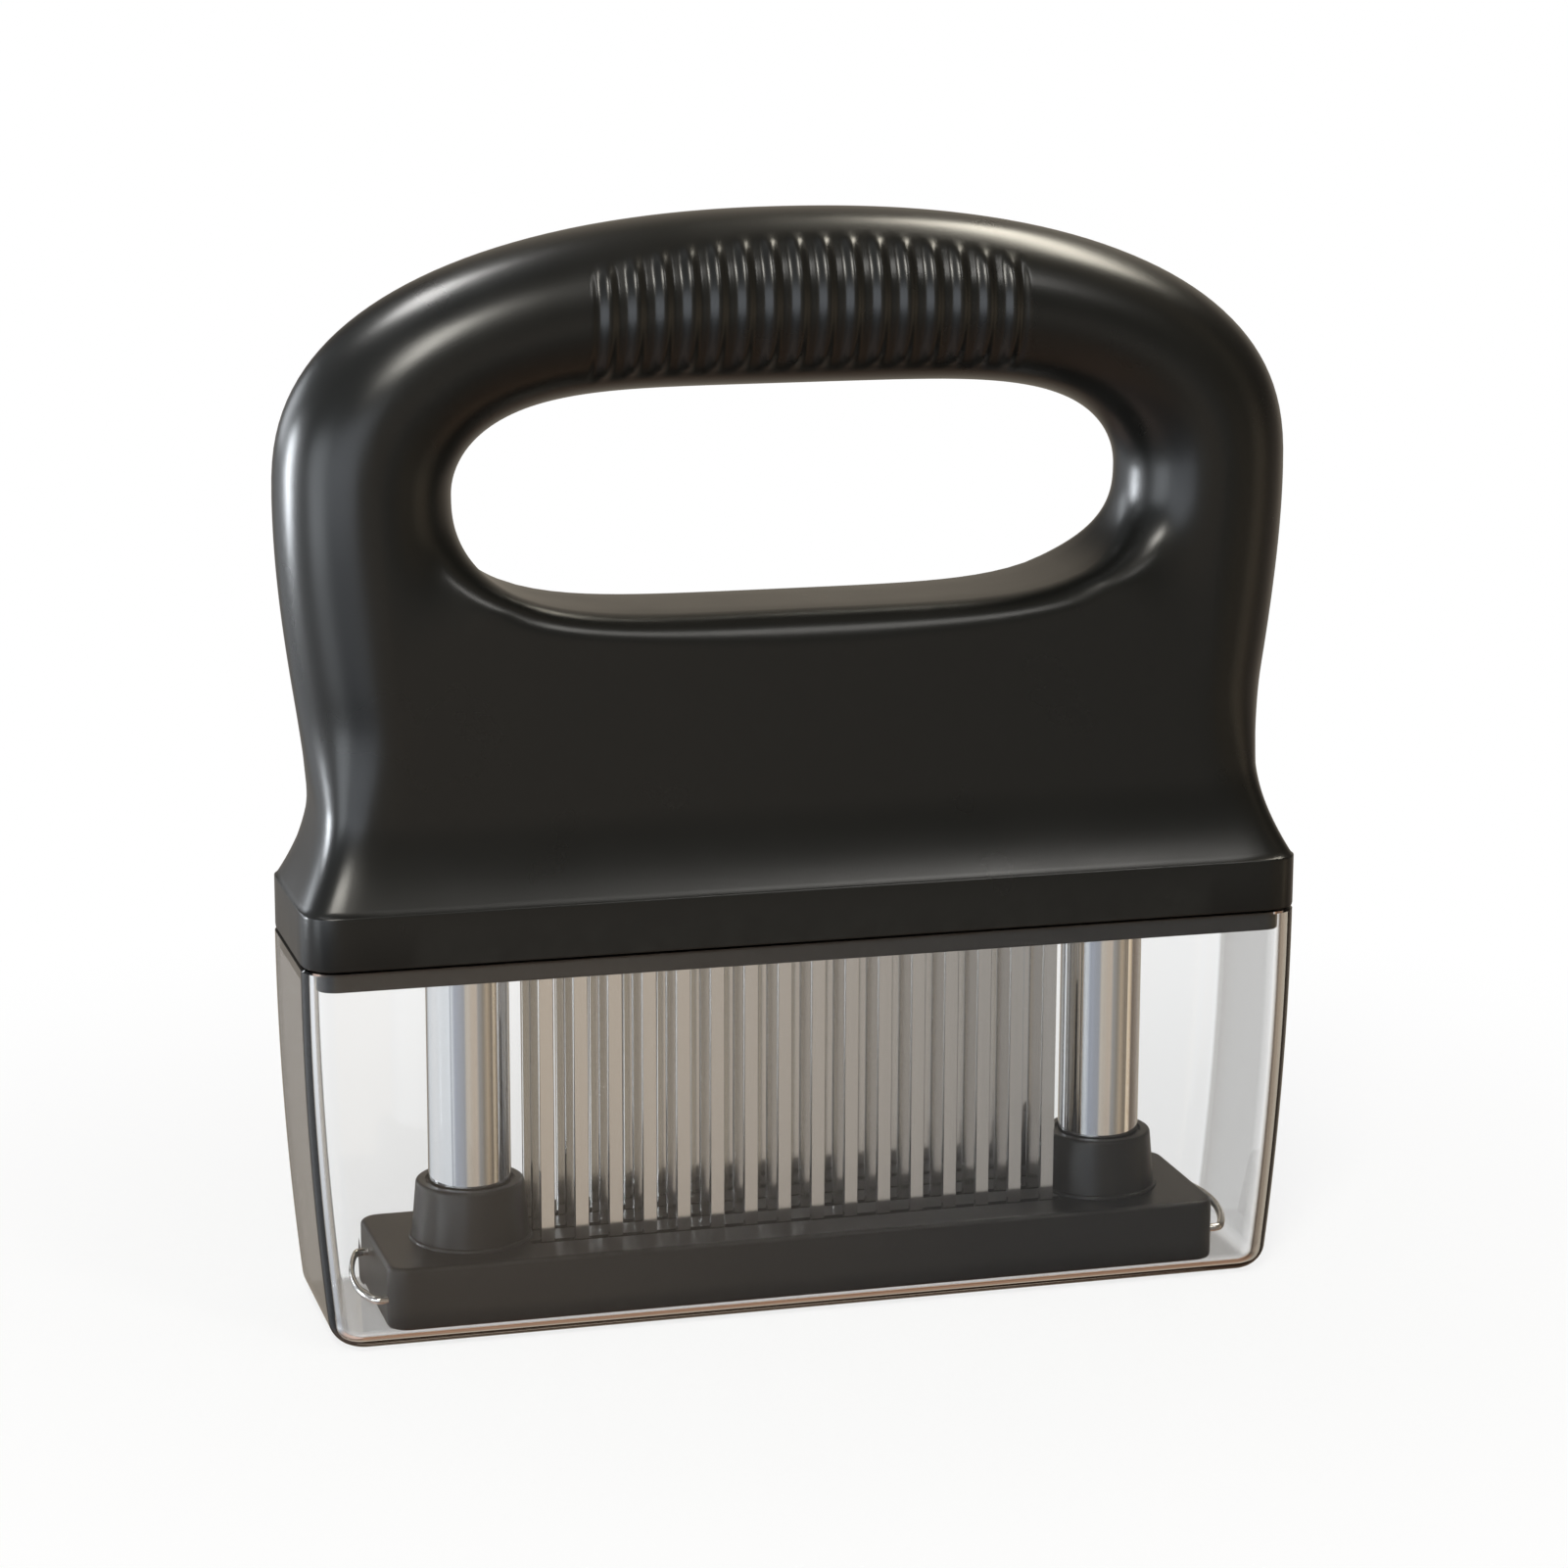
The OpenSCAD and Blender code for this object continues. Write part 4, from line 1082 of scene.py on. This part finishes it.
HEIGHTS = (
    (-90, (0.9, 0.62, 0.5)), (-40, (0.6, 0.45, 0.38)), (-26, (0.45, 0.45, 0.46)),
    (-17, (0.9, 0.9, 0.9)), (-13, (1.0, 1.0, 1.0)), (-4, (0.8, 0.8, 0.8)),
    (8, (0.35, 0.35, 0.35)), (60, (0.3, 0.3, 0.3)), (90, (0.3, 0.3, 0.3)),
)
WHITE = (1, 1, 1)
PLAIN_LIGHT = (0.5, 0.5, 0.495)
BACK_WALL = (0.45, 0.395, 0.32)
FLOOR_COLOR = (0.86, 0.86, 0.86)
FLOOR_R, FLOOR_Z = 600, -0.3

# Parts of a direction between which the studio turns into its back wall, towards the rear and
# to the right, and into the white behind the object
WALL_REAR, WALL_RIGHT, WHITE_REAR = (0.5, 0.8), (-0.2, 0.1), (0.7, 0.85)

# Soft boxes: azimuth, elevation, width, height, watts, colour, and whether they only show as
# highlights on the object's edges and light no dull surface
LAMPS = {
    "left strip": (-116, 2, 0.15, 0.36, 8, (0.9, 0.95, 1.0), True),
    "left rear panel": (-142, 12, 0.35, 0.3, 1.25, (0.9, 0.95, 1.0), True),
    "left side panel": (-69, 1, 0.4, 0.5, 2.8, (0.88, 0.94, 1.0), True),
    "left panel": (-37, 3, 0.6, 0.48, 2.3, (0.86, 0.92, 1.0), False),
    "rear box": (-136, 62, 0.3, 0.26, 4.8, (1.0, 0.99, 0.97), True),
    "front box": (-24, 42, 0.22, 0.3, 5.5, (1.0, 0.97, 0.89), False),
    "top box": (27, 42, 0.16, 0.3, 1.5, (1.0, 0.98, 0.94), False),
    "right box": (120, 54, 0.5, 0.2, 6, (1.0, 0.94, 0.8), True),
}
OBJECT_MIDDLE = (0, 0, 0.08)


def direction(azimuth, elevation):
    """From the object towards a place at that azimuth and elevation."""
    a, e = math.radians(azimuth), math.radians(elevation)
    return Vector((math.sin(a) * math.cos(e), -math.cos(a) * math.cos(e), math.sin(e)))


def add_camera():
    back = direction(CAMERA_AZIMUTH, CAMERA_ELEVATION)
    right = (-back).cross(Vector((0, 0, 1))).normalized()
    up = right.cross(-back)
    roll = math.radians(CAMERA_ROLL)
    across = right * math.cos(roll) + up * math.sin(roll)
    above = up * math.cos(roll) - right * math.sin(roll)
    data = bpy.data.cameras.new("camera")
    data.lens = CAMERA_LENS
    data.sensor_width = CAMERA_SENSOR
    data.clip_start = 0.01
    camera = bpy.data.objects.new("camera", data)
    turn = Matrix((across, above, back)).transposed().to_4x4()
    camera.matrix_world = Matrix.Translation(Vector(CAMERA_PLACE) * MM) @ turn
    bpy.context.scene.collection.objects.link(camera)
    bpy.context.scene.camera = camera


def add_lamp(name, azimuth, elevation, width, height, watts, color, on_edges):
    """A soft box a metre off that faces the object."""
    data = bpy.data.lights.new(name, "AREA")
    data.shape = "RECTANGLE"
    data.size, data.size_y = width, height
    data.energy = watts
    data.color = color
    lamp = bpy.data.objects.new(name, data)
    towards = direction(azimuth, elevation)
    lamp.location = towards + Vector(OBJECT_MIDDLE)
    lamp.visible_diffuse = not on_edges
    lamp.rotation_euler = towards.to_track_quat("Z", "Y").to_euler()
    bpy.context.scene.collection.objects.link(lamp)


def ramp(tree, angle, reach, stops):
    """Colour by an angle in radians; stops have degrees from -reach to reach."""
    share = share_between(tree, angle, -math.radians(reach), math.radians(reach))
    colors = add_node(tree, "ValToRGB", {"Fac": share})
    elements = colors.color_ramp.elements
    for i, (degrees, color) in enumerate(stops):
        at = (degrees + reach) / (2 * reach)
        stop = elements[i] if i < 2 else elements.new(at)
        stop.position = at
        stop.color = (*color, 1)
    return colors.outputs["Color"]


def background(tree, color):
    return add_node(tree, "Background", {"Color": color}).outputs[0]


def add_world():
    """Plain white where the camera sees it, plain light on dull surfaces, and for what is
    mirrored or bent a studio coloured by direction, with a warm wall behind on the right."""
    world = bpy.data.worlds.new("studio")
    bpy.context.scene.world = world
    world.use_nodes = True
    tree = world.node_tree
    tree.nodes.clear()

    heading = add_node(tree, "TexCoord").outputs["Generated"]
    split = add_node(tree, "SeparateXYZ", {0: heading}).outputs
    towards_front = calculate(tree, "MULTIPLY", split["Y"], -1.0)
    azimuth = calculate(tree, "ARCTAN2", split["X"], towards_front)
    elevation = calculate(tree, "ARCSINE", split["Z"])
    room = mix_colors(tree, 1, ramp(tree, azimuth, 180, ROOM),
                      ramp(tree, elevation, 90, HEIGHTS), "MULTIPLY")

    on_wall = calculate(tree, "MULTIPLY", share_between(tree, split["Y"], *WALL_REAR),
                        share_between(tree, split["X"], *WALL_RIGHT))
    room = mix_colors(tree, on_wall, room, (*BACK_WALL, 1))

    # Right behind the object it is white for rays that were only bent, as through the cover
    rays = add_node(tree, "LightPath").outputs
    bounces = calculate(tree, "ADD", rays["Glossy Depth"], rays["Diffuse Depth"])
    straight = calculate(tree, "SUBTRACT", 1.0, calculate(tree, "MINIMUM", bounces, 1.0))
    behind = calculate(tree, "MULTIPLY", share_between(tree, split["Y"], *WHITE_REAR), straight)
    room = mix_colors(tree, behind, room, (*WHITE, 1))

    diffuse = calculate(tree, "MINIMUM", rays["Diffuse Depth"], 1.0)
    lit = mix_shaders(tree, diffuse, background(tree, room),
                      background(tree, (*PLAIN_LIGHT, 1)))
    seen = mix_shaders(tree, rays["Is Camera Ray"], lit, background(tree, (*WHITE, 1)))
    add_node(tree, "OutputWorld", {"Surface": seen})


def floor_material():
    """Pale floor with the object's shadow that turns white farther off; mirrors don't see it."""
    material, tree, shader = new_material("studio floor", FLOOR_COLOR, Roughness=1,
                                          Specular_IOR_Level=0)
    near, far, white_at_object = 0.06, 0.24, 0.78
    position = add_node(tree, "NewGeometry").outputs["Position"]
    away = add_node(tree, "VectorMath", {0: position}, operation="LENGTH").outputs["Value"]
    whiteness = share_between(tree, away, near, far, white_at_object, "SMOOTHSTEP")
    rays = add_node(tree, "LightPath").outputs
    mirrored = calculate(tree, "MINIMUM", rays["Glossy Depth"], 1.0)
    bounces = calculate(tree, "ADD", rays["Diffuse Depth"], mirrored)
    straight = calculate(tree, "SUBTRACT", 1.0, calculate(tree, "MINIMUM", bounces, 1.0))
    white = add_node(tree, "Emission").outputs[0]
    shown = mix_shaders(tree, calculate(tree, "MULTIPLY", whiteness, straight),
                        shader.outputs[0], white)
    unseen = add_node(tree, "BsdfTransparent").outputs[0]
    surface = mix_shaders(tree, mirrored, shown, unseen)
    feed(tree, tree.nodes["Material Output"].inputs["Surface"], surface)
    return material


def add_floor():
    steps = 96
    rim = [(x, y, FLOOR_Z) for x, y in circle(FLOOR_R, steps)]
    floor = solid("floor", rim, [tuple(range(steps))], floor_material())


add_camera()
add_world()
add_floor()
for lamp_name, settings in LAMPS.items():
    add_lamp(lamp_name, *settings)

bpy.context.scene.view_settings.view_transform = "Standard"
